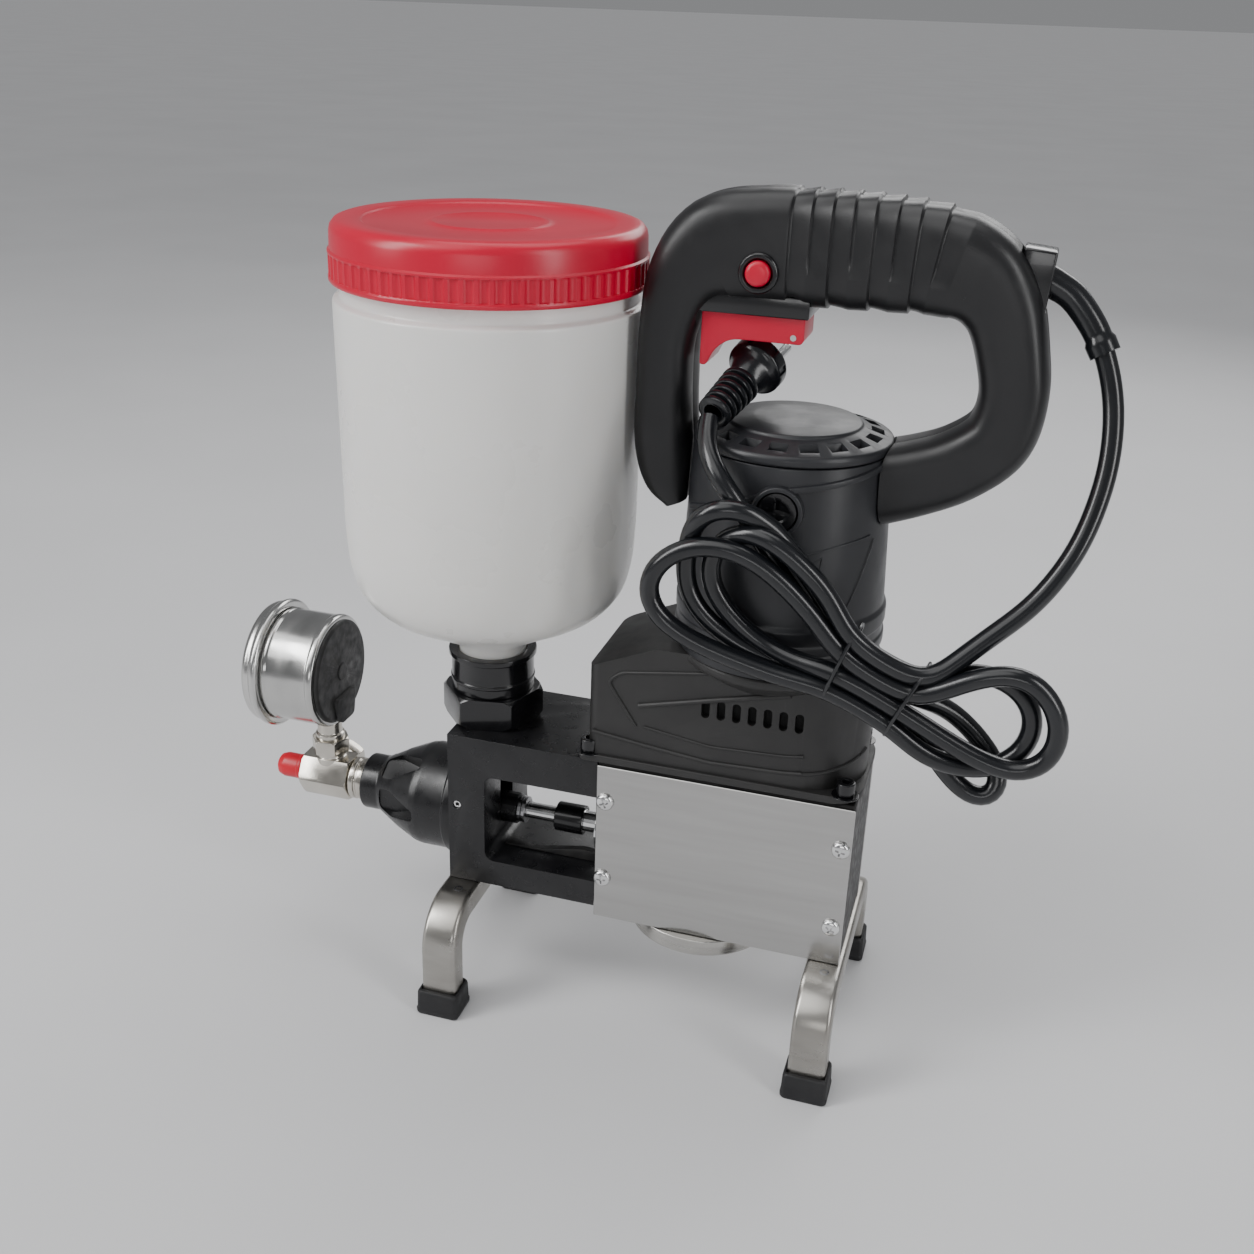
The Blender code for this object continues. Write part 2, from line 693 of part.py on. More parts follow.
def make_motor_insides():
    lathe(
        "field_stator", tube_profile(26.0, 40.6, 224.0, 262.0, 1.5), "steel", centre=(MOTOR_X, 0, 0),
        segments=32, closed=True
    )
    for side, end in ((0, "front"), (math.pi, "rear")):
        a = BRUSH_ANGLE + side
        place = direction_frame((math.cos(a), math.sin(a), 0), (MOTOR_X, 0, BRUSH_Z))
        cap, brush = bmesh.new(), bmesh.new()
        add_lathe(cap, rod_profile(8.6, 43.5, 45.6, 0.4), place, 18)
        to_object(f"{end}_brush_cap", cap, "gloss_black")
        made = add_box(brush, (-2.5, -3.2, 14.4), (2.5, 3.2, 42.9))
        bmesh.ops.transform(brush, matrix=place, verts=made)
        to_object(f"{end}_carbon_brush", brush, "carbon", smooth=False)


# ---------------------------------------------------------------- handle

# middle line of the D handle: x, z, half thickness in the plane, half width across
LOCK_AXIS = (62.8, 0, 373.0)
HANDLE_SPINE = [
    (30.5, 268.0, 5.5, 13.0), (26.0, 279.0, 11.5, 15.5), (22.8, 296.0, 13.0, 17.0), (
        22.0, 320.0, 12.2, 17.5
    ),
    (22.8, 345.0, 12.5, 18.0), (29.0, 366.0, 16.5, 18.5), (42.0, 379.0, 21.5, 19.0), (
        62.0, 382.0, 23.0, 19.0
    ),
    (88.0, 382.3, 23.5, 19.0), (114.0, 382.2, 22.8, 19.0), (134.0, 381.0, 21.5, 19.0), (
        149.5, 376.0, 19.5, 18.8
    ),
    (160.0, 364.5, 16.0, 18.5), (166.0, 347.0, 14.5, 18.2), (168.8, 329.0, 14.2, 18.0), (
        164.8, 311.5, 14.8, 18.0
    ),
    (151.0, 299.0, 15.4, 18.0), (134.0, 291.0, 16.2, 18.0), (114.0, 284.5, 17.5, 18.0),
]


def handle_sections(line, start, end, steps, scale, side):
    """Sections square to the handle's middle line: an arc of a rounded oval from angle start to end."""
    power = 0.8
    sections = []
    for k, (x, z, half, width) in enumerate(line):
        before, after = line[max(k - 1, 0)], line[min(k + 1, len(line) - 1)]
        along = Vector((after[0] - before[0], 0, after[1] - before[1])).normalized()
        outward = Vector((-along.z, 0, along.x))
        ring = []
        for i in range(steps + 1):
            a = start + (end - start) * i / steps
            c, w = math.cos(a), math.sin(a)
            across = math.copysign(abs(w) ** power, w) * width * scale
            if side:
                across = side * max(across, GAP / 2)
            place = Vector((x, across, z)) + outward * (half * scale * math.copysign(abs(c) ** power, c))
            ring.append(place)
        sections.append(ring)
    return sections


def make_handle():
    """Front and rear half shells of the D handle, hollow, parted on the plane Y = 0."""
    line = HANDLE_SPINE
    for name, side in (("handle_front_shell", -1), ("handle_rear_shell", 1)):
        bm = bmesh.new()
        add_loft(bm, handle_sections(line, 0.0, math.pi, 8, 1.0, side))
        shell = to_object(name, bm, "handle_black")
        bm = bmesh.new()
        add_loft(bm, handle_sections(line[1:-1], 0.0, math.tau * 9 / 10, 9, 0.76, 0))
        hollow = to_object(f"{name}_hollow", bm, None)
        if side < 0:
            profile = rod_profile(8.3, -20.3, -15.0)
            unite(shell, lathe("lock_ring_tool", profile, None, axis="y", centre=LOCK_AXIS, segments=20))
        # the shells' curved cuts leave open edges with the exact solver
        subtract(shell, hollow, *handle_cutters(side), solver="MANIFOLD")


def handle_cutters(side):
    tag = "front" if side < 0 else "rear"
    motor = lathe(
        f"motor_clear_{tag}", [(0, 190), (48.2, 190), (43.9, 302), (43.9, 335), (0, 335)], None,
        centre=(MOTOR_X, 0, 0), segments=40
    )
    shroud = box(f"shroud_clear_{tag}", (36.2, -14.6, 335.0), (84.3, 14.6, 363.8), None)
    switch = box(f"switch_clear_{tag}", (38.0, -11.7, 342.0), (82.5, 11.7, 372.0), None)
    socket = [(164.0, 390.2), (178.2, 389.0), (176.6, 364.8), (164.0, 364.8)]
    bm = bmesh.new()
    add_prism(bm, socket, -8.3, 8.3, UPRIGHT)
    cuts = [motor, shroud, switch, to_object(f"socket_clear_{tag}", bm, None)]
    if side < 0:
        profile = rod_profile(5.7, -30.0, -11.0)
        cuts.append(lathe("lock_bore", profile, None, axis="y", centre=LOCK_AXIS, segments=20))
    return cuts


def make_controls():
    shroud = box("switch_shroud", (36.5, -14.2, 354.6), (84.0, 14.2, 363.5), "gloss_black", bevel=0.8)
    subtract(shroud, box("shroud_cut", (38.0, -11.5, 350.0), (82.5, 11.5, 370.0), None))
    box("switch_body", (46.0, -8.5, 372.3), (78.0, 8.5, 393.0), "orange", bevel=0.6)
    outline = [
        (38.3, 361.0), (38.3, 331.5), (41.0, 331.5), (44.5, 339.0),
        (51.0, 343.6), (81.0, 343.6), (82.2, 345.2), (82.2, 361.0),
    ]
    bm = bmesh.new()
    add_prism(bm, outline, -11.2, 11.2, UPRIGHT)
    to_object("trigger", bm, "red", origin=(60.0, 0, 352.0), smooth=False)
    button = [(0, -22.6), (4.2, -22.6), (5.3, -21.6), (5.3, -13.2), (0, -13.2)]
    lathe("lock_button", button, "red", axis="y", centre=LOCK_AXIS, segments=20, origin=(62.8, -18.0, 373.0))


# ---------------------------------------------------------------- hopper and lid

def make_hopper():
    outer = [
        (NECK_R, 162.0), (NECK_R, 183.0), (43.0, 198.0), (59.0, 207.5), (67.6, 228.0), (69.3, 349.0),
        (66.2, 350.5), (66.2, 375.5),
    ]
    inner = [
        (63.6, 375.5), (63.6, 350.0), (66.7, 344.0), (65.0, 229.0), (57.4, 210.0), (42.0, 200.8),
        (NECK_R - HOPPER_WALL, 184.5), (NECK_R - HOPPER_WALL, 162.0),
    ]
    lathe("hopper", outer + inner, "hdpe", centre=(HOPPER_X, 0, 0), segments=32, closed=True)


def make_lid():
    axis = (HOPPER_X, 0, 0)
    profile = [
        (66.5, LID_BOTTOM), (LID_R, LID_BOTTOM), (LID_R, 371.0), (69.4, 380.5), (67.0, LID_TOP),
        (55.0, LID_TOP), (0, 382.2), (0, 378.6), (66.5, 378.6),
    ]
    lid = lathe("lid", profile, "red", centre=axis, segments=32, origin=(*axis[:2], 370.0))
    close_pole_profile(lid)
    lathe(
        "lid_seal", tube_profile(60.0, 66.0, 375.8, 378.3), "white", centre=axis, segments=28, closed=True,
        origin=(*axis[:2], 377.0)
    )


def make_neck():
    """Hexagon fitting on the block with the round collar that the hopper's neck screws into."""
    centre = (HOPPER_X, 0, 0)
    bm = bmesh.new()
    add_prism(bm, hexagon(50.5, math.radians(12)), 142.1, 158.0, Matrix.Translation(Vector(centre)))
    fitting = to_object("hopper_fitting", bm, "gloss_black", smooth=False)
    rim = [(0, 141.0), (22.0, 141.0), (25.6, 144.8), (25.6, 155.4), (22.0, 159.2), (0, 159.2)]
    rounding = lathe("fitting_round_tool", rim, None, centre=centre, segments=28)
    step = fitting.modifiers.new("round_corners", "BOOLEAN")
    step.operation = "INTERSECT"
    step.solver = "EXACT"
    step.object = rounding
    collar = [(0, 156.0), (20.4, 156.0), (20.4, 175.4), (21.7, 176.0), (21.7, 178.6), (0, 178.6)]
    bore = [
        (0, 138.0), (12.0, 138.0), (12.0, 161.7), (NECK_R + GAP, 161.7), (NECK_R + GAP, 184.0), (0, 184.0)
    ]
    unite(fitting, lathe("collar_tool", collar, None, centre=centre, segments=28))
    subtract(fitting, lathe("fitting_bore", bore, None, centre=centre, segments=28))


# ---------------------------------------------------------------- outlet and gauge

def make_outlet():
    axis = (0, 0, PUMP_Z)
    cone = [
        (0, -132.0), (14.6, -132.0), (14.6, -122.5), (20.5, -112.0), (26.5, -98.0), (27.0, -79.5),
        (28.4, -79.5), (28.4, -74.0), (0, -74.0),
    ]
    body = lathe("outlet_cone", cone, "black_paint", axis="x", centre=axis, segments=24)
    pockets = bmesh.new()
    for k in range(6):
        turn = Matrix.Rotation(math.tau * (k + 0.5) / 6, 4, "X")
        made = add_box(pockets, (-119.0, -5.5, 15.5), (-98.0, 5.5, 30.0))
        bmesh.ops.transform(pockets, matrix=Matrix.Translation(Vector(axis)) @ turn, verts=made)
    bore = lathe("cone_bore", rod_profile(5.0, -140, -60), None, axis="x", centre=axis, segments=16)
    subtract(body, to_object("pocket_cut", pockets, None), bore)
    lathe(
        "outlet_collar", tube_profile(5.0, 11.2, TEE_X[1] + GAP, -132.3, 0.8), "nickel", axis="x",
        centre=axis, segments=24, closed=True
    )


def make_tee():
    """Hexagon bar with its axis along X, a stub up to the gauge and a stub back to the plug."""
    bm = bmesh.new()
    add_prism(bm, hexagon(25.4, math.radians(0)), TEE_X[0], TEE_X[1], axis_frame("x", (0, 0, PUMP_Z)))
    tee = to_object("tee_body", bm, "nickel", smooth=False)
    up = lathe(
        "tee_up_tool", rod_profile(7.6, PUMP_Z, PUMP_Z + 13.8), None, centre=(STEM_X, 0, 0), segments=20
    )
    back = lathe(
        "tee_back_tool", rod_profile(7.6, 0, 15.0), None, axis="y", centre=(STEM_X, 0, PUMP_Z), segments=20
    )
    bore = lathe(
        "tee_bore", rod_profile(3.2, -175, -150), None, axis="x", centre=(0, 0, PUMP_Z), segments=14
    )
    unite(tee, up, back)
    subtract(tee, bore)
    bm = bmesh.new()
    add_prism(bm, hexagon(20.5, math.radians(8)), 102.1, 113.5, Matrix.Translation((STEM_X, 0, 0)))
    adapter = to_object("gauge_adapter", bm, "nickel", smooth=False)
    stem = lathe(
        "stem_tool", rod_profile(6.5, 112, GAUGE_Z - GAUGE_R - GAP), None, centre=(STEM_X, 0, 0),
        segments=18
    )
    unite(adapter, stem)
    nipple = [(2.6, -176.0), (4.6, -176.0), (4.6, -170.2), (7.0, -170.2), (7.0, -168.7), (2.6, -168.7)]
    lathe("outlet_nipple", nipple, "brass", axis="x", centre=(0, 0, PUMP_Z), segments=18, closed=True)
    cap = [
        (0, -185.8), (3.6, -185.4), (5.8, -183.6), (6.6, -180.6), (6.6, -170.6), (4.9, -170.6),
        (4.9, -182.0), (0, -184.0)
    ]
    lathe("red_cap", cap, "red", axis="x", centre=(0, 0, PUMP_Z), segments=20, origin=(-170.6, 0, PUMP_Z))


def make_gauge():
    centre = (0, 0, GAUGE_Z)
    back, front = GAUGE_BACK_X, GAUGE_FRONT_X
    drum = [
        (0, back), (GAUGE_R - 1.0, back), (GAUGE_R, back - 1.0), (GAUGE_R, -176.2), (27.9, -176.2),
        (27.9, back - 2.0), (0, back - 2.0)
    ]
    lathe("gauge_case", drum, "stainless", axis="x", centre=centre, segments=32)
    lathe("gauge_dial", rod_profile(27.4, -176.6, -175.4), "white", axis="x", centre=centre, segments=28)
    bezel = [
        (27.0, -176.9), (BEZEL_R, -176.9), (BEZEL_R, -180.6), (32.3, -182.0), (31.0, front),
        (28.6, front), (28.6, -182.4), (27.0, -182.4),
    ]
    lathe("gauge_bezel", bezel, "stainless", axis="x", centre=centre, segments=32, closed=True)
    lens = [(0, -185.4), (28.3, -184.2), (28.3, -182.7), (0, -182.7)]
    lathe("gauge_lens", lens, "lens", axis="x", centre=centre, segments=28)
    hub = lathe(
        "gauge_needle", rod_profile(2.4, -179.6, -177.0), "gloss_black", axis="x", centre=centre,
        segments=14, origin=(-177.0, 0, GAUGE_Z)
    )
    outline = [(-0.9, 8.0), (0.9, 8.0), (1.2, 0.0), (0.3, -22.0), (-0.3, -22.0), (-1.2, 0.0)]
    bm = bmesh.new()
    place = axis_frame("x", centre) @ Matrix.Rotation(math.radians(135 - 90), 4, "Z")
    add_prism(bm, outline, -179.0, -178.2, place)
    unite(hub, to_object("pointer_tool", bm, None, (-177.0, 0, GAUGE_Z)))


# ---------------------------------------------------------------- cord

SLEEVE_ROUTE = [
    (172.0, 0, 377.5), (178.4, 0, 375.2), (186.2, -0.5, 370.6), (194.9, -3.0, 361.0), (201.4, -6.0, 350.7)
]
UPPER_ROUTE = [
    (202.1, -6.6, 349.3), (207.6, -12.0, 332.4), (209.3, -20.0, 311.0), (206.2, -28.0, 290.6), (
        200.4, -35.5, 274.0
    ),
    (188.7, -43.5, 255.8), (173.5, -51.0, 242.0), (162.3, -54.4, 233.2),
]
LOWER_ROUTE = [
    (48.6, -31.0, 314.6), (48.9, -38.0, 309.2), (53.0, -47.0, 300.6), (59.0, -53.5, 293.6),
    (64.6, -56.5, 288.2)
]
HANK_OUTLINE = [
    (29.5, 247.0), (33.4, 260.2), (43.5, 271.0), (50.0, 280.0), (57.5, 285.0), (60.6, 281.8), (68.0, 289.0), (
        75.0, 285.5
    ),
    (91.2, 272.5), (111.8, 252.3), (123.6, 240.0), (140.3, 231.5), (156.8, 235.2), (163.0, 227.4), (
        173.5, 236.0
    ),
    (186.9, 238.4), (201.3, 232.0), (210.0, 212.4), (207.0, 193.4), (194.3, 184.0), (189.5, 176.9), (
        186.6, 165.8
    ),
    (176.6, 163.8), (158.8, 173.4), (144.4, 190.0), (130.7, 201.5), (115.6, 209.5), (85.5, 212.6), (
        60.8, 217.8
    ),
    (41.9, 225.6), (32.0, 237.3),
]
PLUG_END = Vector((49.5, -29.0, 315.5))
PLUG_AXIS = Vector((0.30, 0.87, 0.39)).normalized()


def make_curve_tube(name, points, radius, slot, resolution=2):
    curve = bpy.data.curves.new(name, "CURVE")
    curve.dimensions = "3D"
    curve.bevel_depth = radius * MM
    curve.bevel_resolution = resolution
    curve.use_fill_caps = True
    line = smooth_line([list(p) for p in points], 3)
    spline = curve.splines.new("POLY")
    spline.points.add(len(line) - 1)
    for point, place in zip(spline.points, line):
        point.co = (*(Vector(place) * MM), 1.0)
    curve.materials.append(material(slot))
    obj = bpy.data.objects.new(name, curve)
    bpy.context.scene.collection.objects.link(obj)
    return obj


def make_strain_relief():
    line = smooth_line([list(p) for p in SLEEVE_ROUTE], 3)
    sections = []
    for k, point in enumerate(line):
        before, after = Vector(line[max(k - 1, 0)]), Vector(line[min(k + 1, len(line) - 1)])
        along = (after - before).normalized()
        across = along.cross(Vector((0, 1, 0))).normalized()
        up = across.cross(along)
        radius = 6.2 - 0.8 * k / (len(line) - 1)
        ring = [math.tau * i / 12 for i in range(12)]
        sections.append([Vector(point) + (across * math.cos(a) + up * math.sin(a)) * radius for a in ring])
    bm = bmesh.new()
    add_loft(bm, sections)
    sleeve = to_object("sleeve_tool", bm, None)
    outline = [(164.3, 389.8), (177.9, 388.6), (176.3, 365.1), (164.3, 365.1)]
    bm = bmesh.new()
    add_prism(bm, outline, -8.0, 8.0, UPRIGHT)
    unite(to_object("strain_relief", bm, "rubber"), sleeve)


def make_hank():
    bm = bmesh.new()
    add_prism(bm, HANK_OUTLINE, -HANK_BACK, -HANK_FRONT, UPRIGHT)
    rims = [e for e in bm.edges if abs(e.verts[0].co.y - e.verts[1].co.y) < 0.01]
    bmesh.ops.bevel(bm, geom=rims, offset=3.0, segments=1, affect="EDGES")
    to_object("cord_hank", bm, "cord_black")


def make_plug():
    """Moulded plug: slim boot, tapered body, round face and two pins."""
    place = direction_frame(PLUG_AXIS, PLUG_END)
    profile = [(0, 0), (6.0, 0), (7.4, 25.0), (9.0, 30.0), (12.4, 35.0), (12.4, 41.2), (0, 41.2)]
    bm = bmesh.new()
    add_lathe(bm, profile, place, 18)
    plug = to_object("plug", bm, "cord_black")
    pins = bmesh.new()
    for offset in (-5.5, 5.5):
        add_lathe(pins, rod_profile(2.0, 40.0, 55.0), place @ Matrix.Translation((offset, 0, 0)), 10)
    unite(plug, to_object("plug_pins_tool", pins, None))


def make_cord():
    make_strain_relief()
    make_curve_tube("cord_upper", UPPER_ROUTE, CORD_D / 2, "cord_black")
    make_curve_tube("cord_lower", LOWER_ROUTE, CORD_D / 2, "cord_black")
    make_hank()
    make_plug()


def main():
    clear_scene()
    make_block()
    make_housing()
    make_plates()
    make_bearing_cover()
    make_bearings()
    for name, (x, top) in LEGS.items():
        make_leg(name, x, top)
    make_feet()
    make_gear_case()
    make_motor()
    make_top_cap()
    make_motor_insides()
    make_handle()
    make_controls()
    make_crank()
    make_layshaft()
    make_armature()
    make_fan()
    make_connecting_rod()
    make_crosshead()
    make_plunger()
    make_seals()
    make_hopper()
    make_lid()
    make_neck()
    make_outlet()
    make_tee()
    make_gauge()
    make_cord()


main()
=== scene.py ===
import json
import math

import bmesh
import bpy
from mathutils import Matrix, Vector


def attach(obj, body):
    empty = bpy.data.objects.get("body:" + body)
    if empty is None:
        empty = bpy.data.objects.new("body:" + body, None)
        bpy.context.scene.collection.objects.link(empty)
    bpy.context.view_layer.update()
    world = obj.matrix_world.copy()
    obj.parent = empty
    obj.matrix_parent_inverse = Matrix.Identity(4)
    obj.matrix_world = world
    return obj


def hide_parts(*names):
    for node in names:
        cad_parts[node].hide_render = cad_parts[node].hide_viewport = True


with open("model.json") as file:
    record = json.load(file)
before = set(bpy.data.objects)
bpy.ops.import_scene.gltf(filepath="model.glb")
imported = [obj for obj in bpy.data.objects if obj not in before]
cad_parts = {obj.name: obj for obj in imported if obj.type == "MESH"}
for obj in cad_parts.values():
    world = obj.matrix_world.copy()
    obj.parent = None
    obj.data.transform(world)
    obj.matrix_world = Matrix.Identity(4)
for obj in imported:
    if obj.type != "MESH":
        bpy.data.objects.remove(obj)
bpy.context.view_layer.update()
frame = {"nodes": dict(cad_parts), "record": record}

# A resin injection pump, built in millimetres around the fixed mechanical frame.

MM = 0.001
UPRIGHT = Matrix.Rotation(math.pi / 2, 4, "X")     # outline (x, z), depth towards -Y
WELD, BEVEL_FROM = 0.0005, 28                      # millimetres, degrees
FINE = 96                                          # sides of a large turned piece

# the frame's main axes and planes, in millimetres
PUMP_Z, HOPPER_X, CRANK_X, MOTOR_X = 88, -61.5, 52.5, 79.5
GAUGE_Z, STEM_X = 149.6, -154.5
LOCK_AXIS = (62.8, 0, 373)
CASE_Y, CASE_TOP, CASE_FLANGE = 31, 204.7, 147.6
BRUSH_Z, BRUSH_ANGLE = 281.8, math.radians(-86)
LEGS = {"left": (-66.5, 59.2), "right": (120.5, 54.9)}
LEG_Y, LEG_BEND, LEG_DEPTH, LEG_WIDTH = 58, 24, 13, 18


# ---------------------------------------------------------------- camera, light and floor

FLOOR_HALF, FLOOR_GAP = 60, 0.0002                # metres
SENSOR_WIDTH, LENS = 36, 40.683
CAMERA_PLACE = (0.17846, -0.59301, 0.47340)
CAMERA_YAW, CAMERA_PITCH, CAMERA_ROLL = (math.radians(a) for a in (16.1137, 23.9457, 1.99845))


def add_camera():
    data = bpy.data.cameras.new("camera")
    data.sensor_width = SENSOR_WIDTH
    data.lens = LENS
    data.clip_start = 0.01
    camera = bpy.data.objects.new("camera", data)
    bpy.context.scene.collection.objects.link(camera)
    cy, sy = math.cos(CAMERA_YAW), math.sin(CAMERA_YAW)
    cp, sp = math.cos(CAMERA_PITCH), math.sin(CAMERA_PITCH)
    forward = Vector((-sy * cp, cy * cp, -sp))
    right = Vector((cy, sy, 0))
    up = right.cross(forward)
    c, s = math.cos(CAMERA_ROLL), math.sin(CAMERA_ROLL)
    right, up = right * c + up * s, up * c - right * s
    turn = Matrix((right, up, -forward)).transposed().to_4x4()
    camera.matrix_world = Matrix.Translation(CAMERA_PLACE) @ turn
    bpy.context.scene.camera = camera


def add_area(name, place, target, size, power, colour=(1, 1, 1)):
    data = bpy.data.lights.new(name, "AREA")
    data.shape = "RECTANGLE"
    data.size, data.size_y = size
    data.energy = power
    data.color = colour
    light = bpy.data.objects.new(name, data)
    light.location = place
    light.rotation_euler = (Vector(target) - Vector(place)).to_track_quat("-Z", "Y").to_euler()
    bpy.context.scene.collection.objects.link(light)


def add_daylight(strength):
    """Even soft light, so that the floor stays pale to the horizon."""
    data = bpy.data.lights.new("daylight", "SUN")
    data.energy = strength
    data.angle = math.radians(50)
    light = bpy.data.objects.new("daylight", data)
    light.rotation_euler = (math.radians(28), math.radians(-22), 0)
    bpy.context.scene.collection.objects.link(light)


def add_stage():
    add_daylight(1)
    add_area("key", (-1.15, -0.85, 1.05), (0, 0, 0.2), (0.45, 1.3), 17)
    add_area("fill", (1.25, -0.60, 0.75), (0.05, 0, 0.2), (0.3, 1.2), 8)
    add_area("top", (0, 0.25, 1.5), (0, 0, 0.1), (1.1, 0.8), 6)
    add_area("front", (0.3, -1.9, 0.50), (0, 0, 0.2), (0.9, 0.30), 3)
    add_area("back", (0.3, 1.5, 1), (0, 0, 0.2), (1.2, 0.6), 8)
    world = bpy.data.worlds.new("studio")
    world.use_nodes = True
    world.node_tree.nodes["Background"].inputs["Color"].default_value = (0.80, 0.81, 0.83, 1)
    world.node_tree.nodes["Background"].inputs["Strength"].default_value = 0.30
    bpy.context.scene.world = world
    bm = bmesh.new()
    bmesh.ops.create_grid(bm, x_segments=1, y_segments=1, size=FLOOR_HALF)
    mesh = bpy.data.meshes.new("floor")
    bm.to_mesh(mesh)
    bm.free()
    floor = bpy.data.objects.new("floor", mesh)
    floor.location.z = -FLOOR_GAP
    bpy.context.scene.collection.objects.link(floor)
    mesh.materials.append(
        surface("floor_paint", (0.62, 0.62, 0.63), (0.66, 0.66, 0.67), (0.5, 0.6), 3, (60, 0.05))
    )


# ---------------------------------------------------------------- materials

def surface(name, low, high, rough, patch, bump, stretch=(1, 1, 1), speck=None, **constant):
    """Principled material whose colour, roughness and relief come from noise over the object.

    patch is the colour noise's scale; bump is (scale, strength); stretch lengthens the grain, as
    brushing does; speck is (colour, scale, amount) of small marks; constant sets shader sockets.
    """
    made = bpy.data.materials.new(name)
    made.use_nodes = True
    nodes, links = made.node_tree.nodes, made.node_tree.links
    shader = nodes["Principled BSDF"]
    for socket, value in constant.items():
        shader.inputs[socket.replace("_", " ").title().replace("Ior", "IOR")].default_value = value
    place = nodes.new("ShaderNodeTexCoord").outputs["Object"]
    scaled = nodes.new("ShaderNodeMapping")
    scaled.inputs["Scale"].default_value = stretch
    links.new(place, scaled.inputs["Vector"])

    def noise(scale, detail=4, vector=scaled.outputs["Vector"]):
        node = nodes.new("ShaderNodeTexNoise")
        node.inputs["Scale"].default_value = scale
        node.inputs["Detail"].default_value = detail
        links.new(vector, node.inputs["Vector"])
        return node.outputs["Fac"]

    ramp = nodes.new("ShaderNodeValToRGB")
    ramp.color_ramp.elements[0].position = 0.30
    ramp.color_ramp.elements[1].position = 0.70
    ramp.color_ramp.elements[0].color = (*low, 1)
    ramp.color_ramp.elements[1].color = (*high, 1)
    links.new(noise(patch), ramp.inputs["Fac"])
    colour = ramp.outputs["Color"]
    if speck:
        marks = nodes.new("ShaderNodeValToRGB")
        marks.color_ramp.elements[0].position = 1 - speck[2]
        marks.color_ramp.elements[1].position = min(1 - speck[2] + 0.06, 1)
        links.new(noise(speck[1], 6, place), marks.inputs["Fac"])
        mix = nodes.new("ShaderNodeMix")
        mix.data_type = "RGBA"
        links.new(marks.outputs["Color"], mix.inputs[0])
        links.new(colour, mix.inputs[6])
        mix.inputs[7].default_value = (*speck[0], 1)
        colour = mix.outputs[2]
    links.new(colour, shader.inputs["Base Color"])
    spread = nodes.new("ShaderNodeMapRange")
    spread.inputs["From Min"].default_value = 0.3
    spread.inputs["From Max"].default_value = 0.7
    spread.inputs["To Min"].default_value = rough[0]
    spread.inputs["To Max"].default_value = rough[1]
    links.new(noise(patch * 2.7, 5), spread.inputs["Value"])
    links.new(spread.outputs["Result"], shader.inputs["Roughness"])
    relief = nodes.new("ShaderNodeBump")
    relief.inputs["Strength"].default_value = bump[1]
    relief.inputs["Distance"].default_value = 0.0004
    links.new(noise(bump[0], 3), relief.inputs["Height"])
    links.new(relief.outputs["Normal"], shader.inputs["Normal"])
    return made


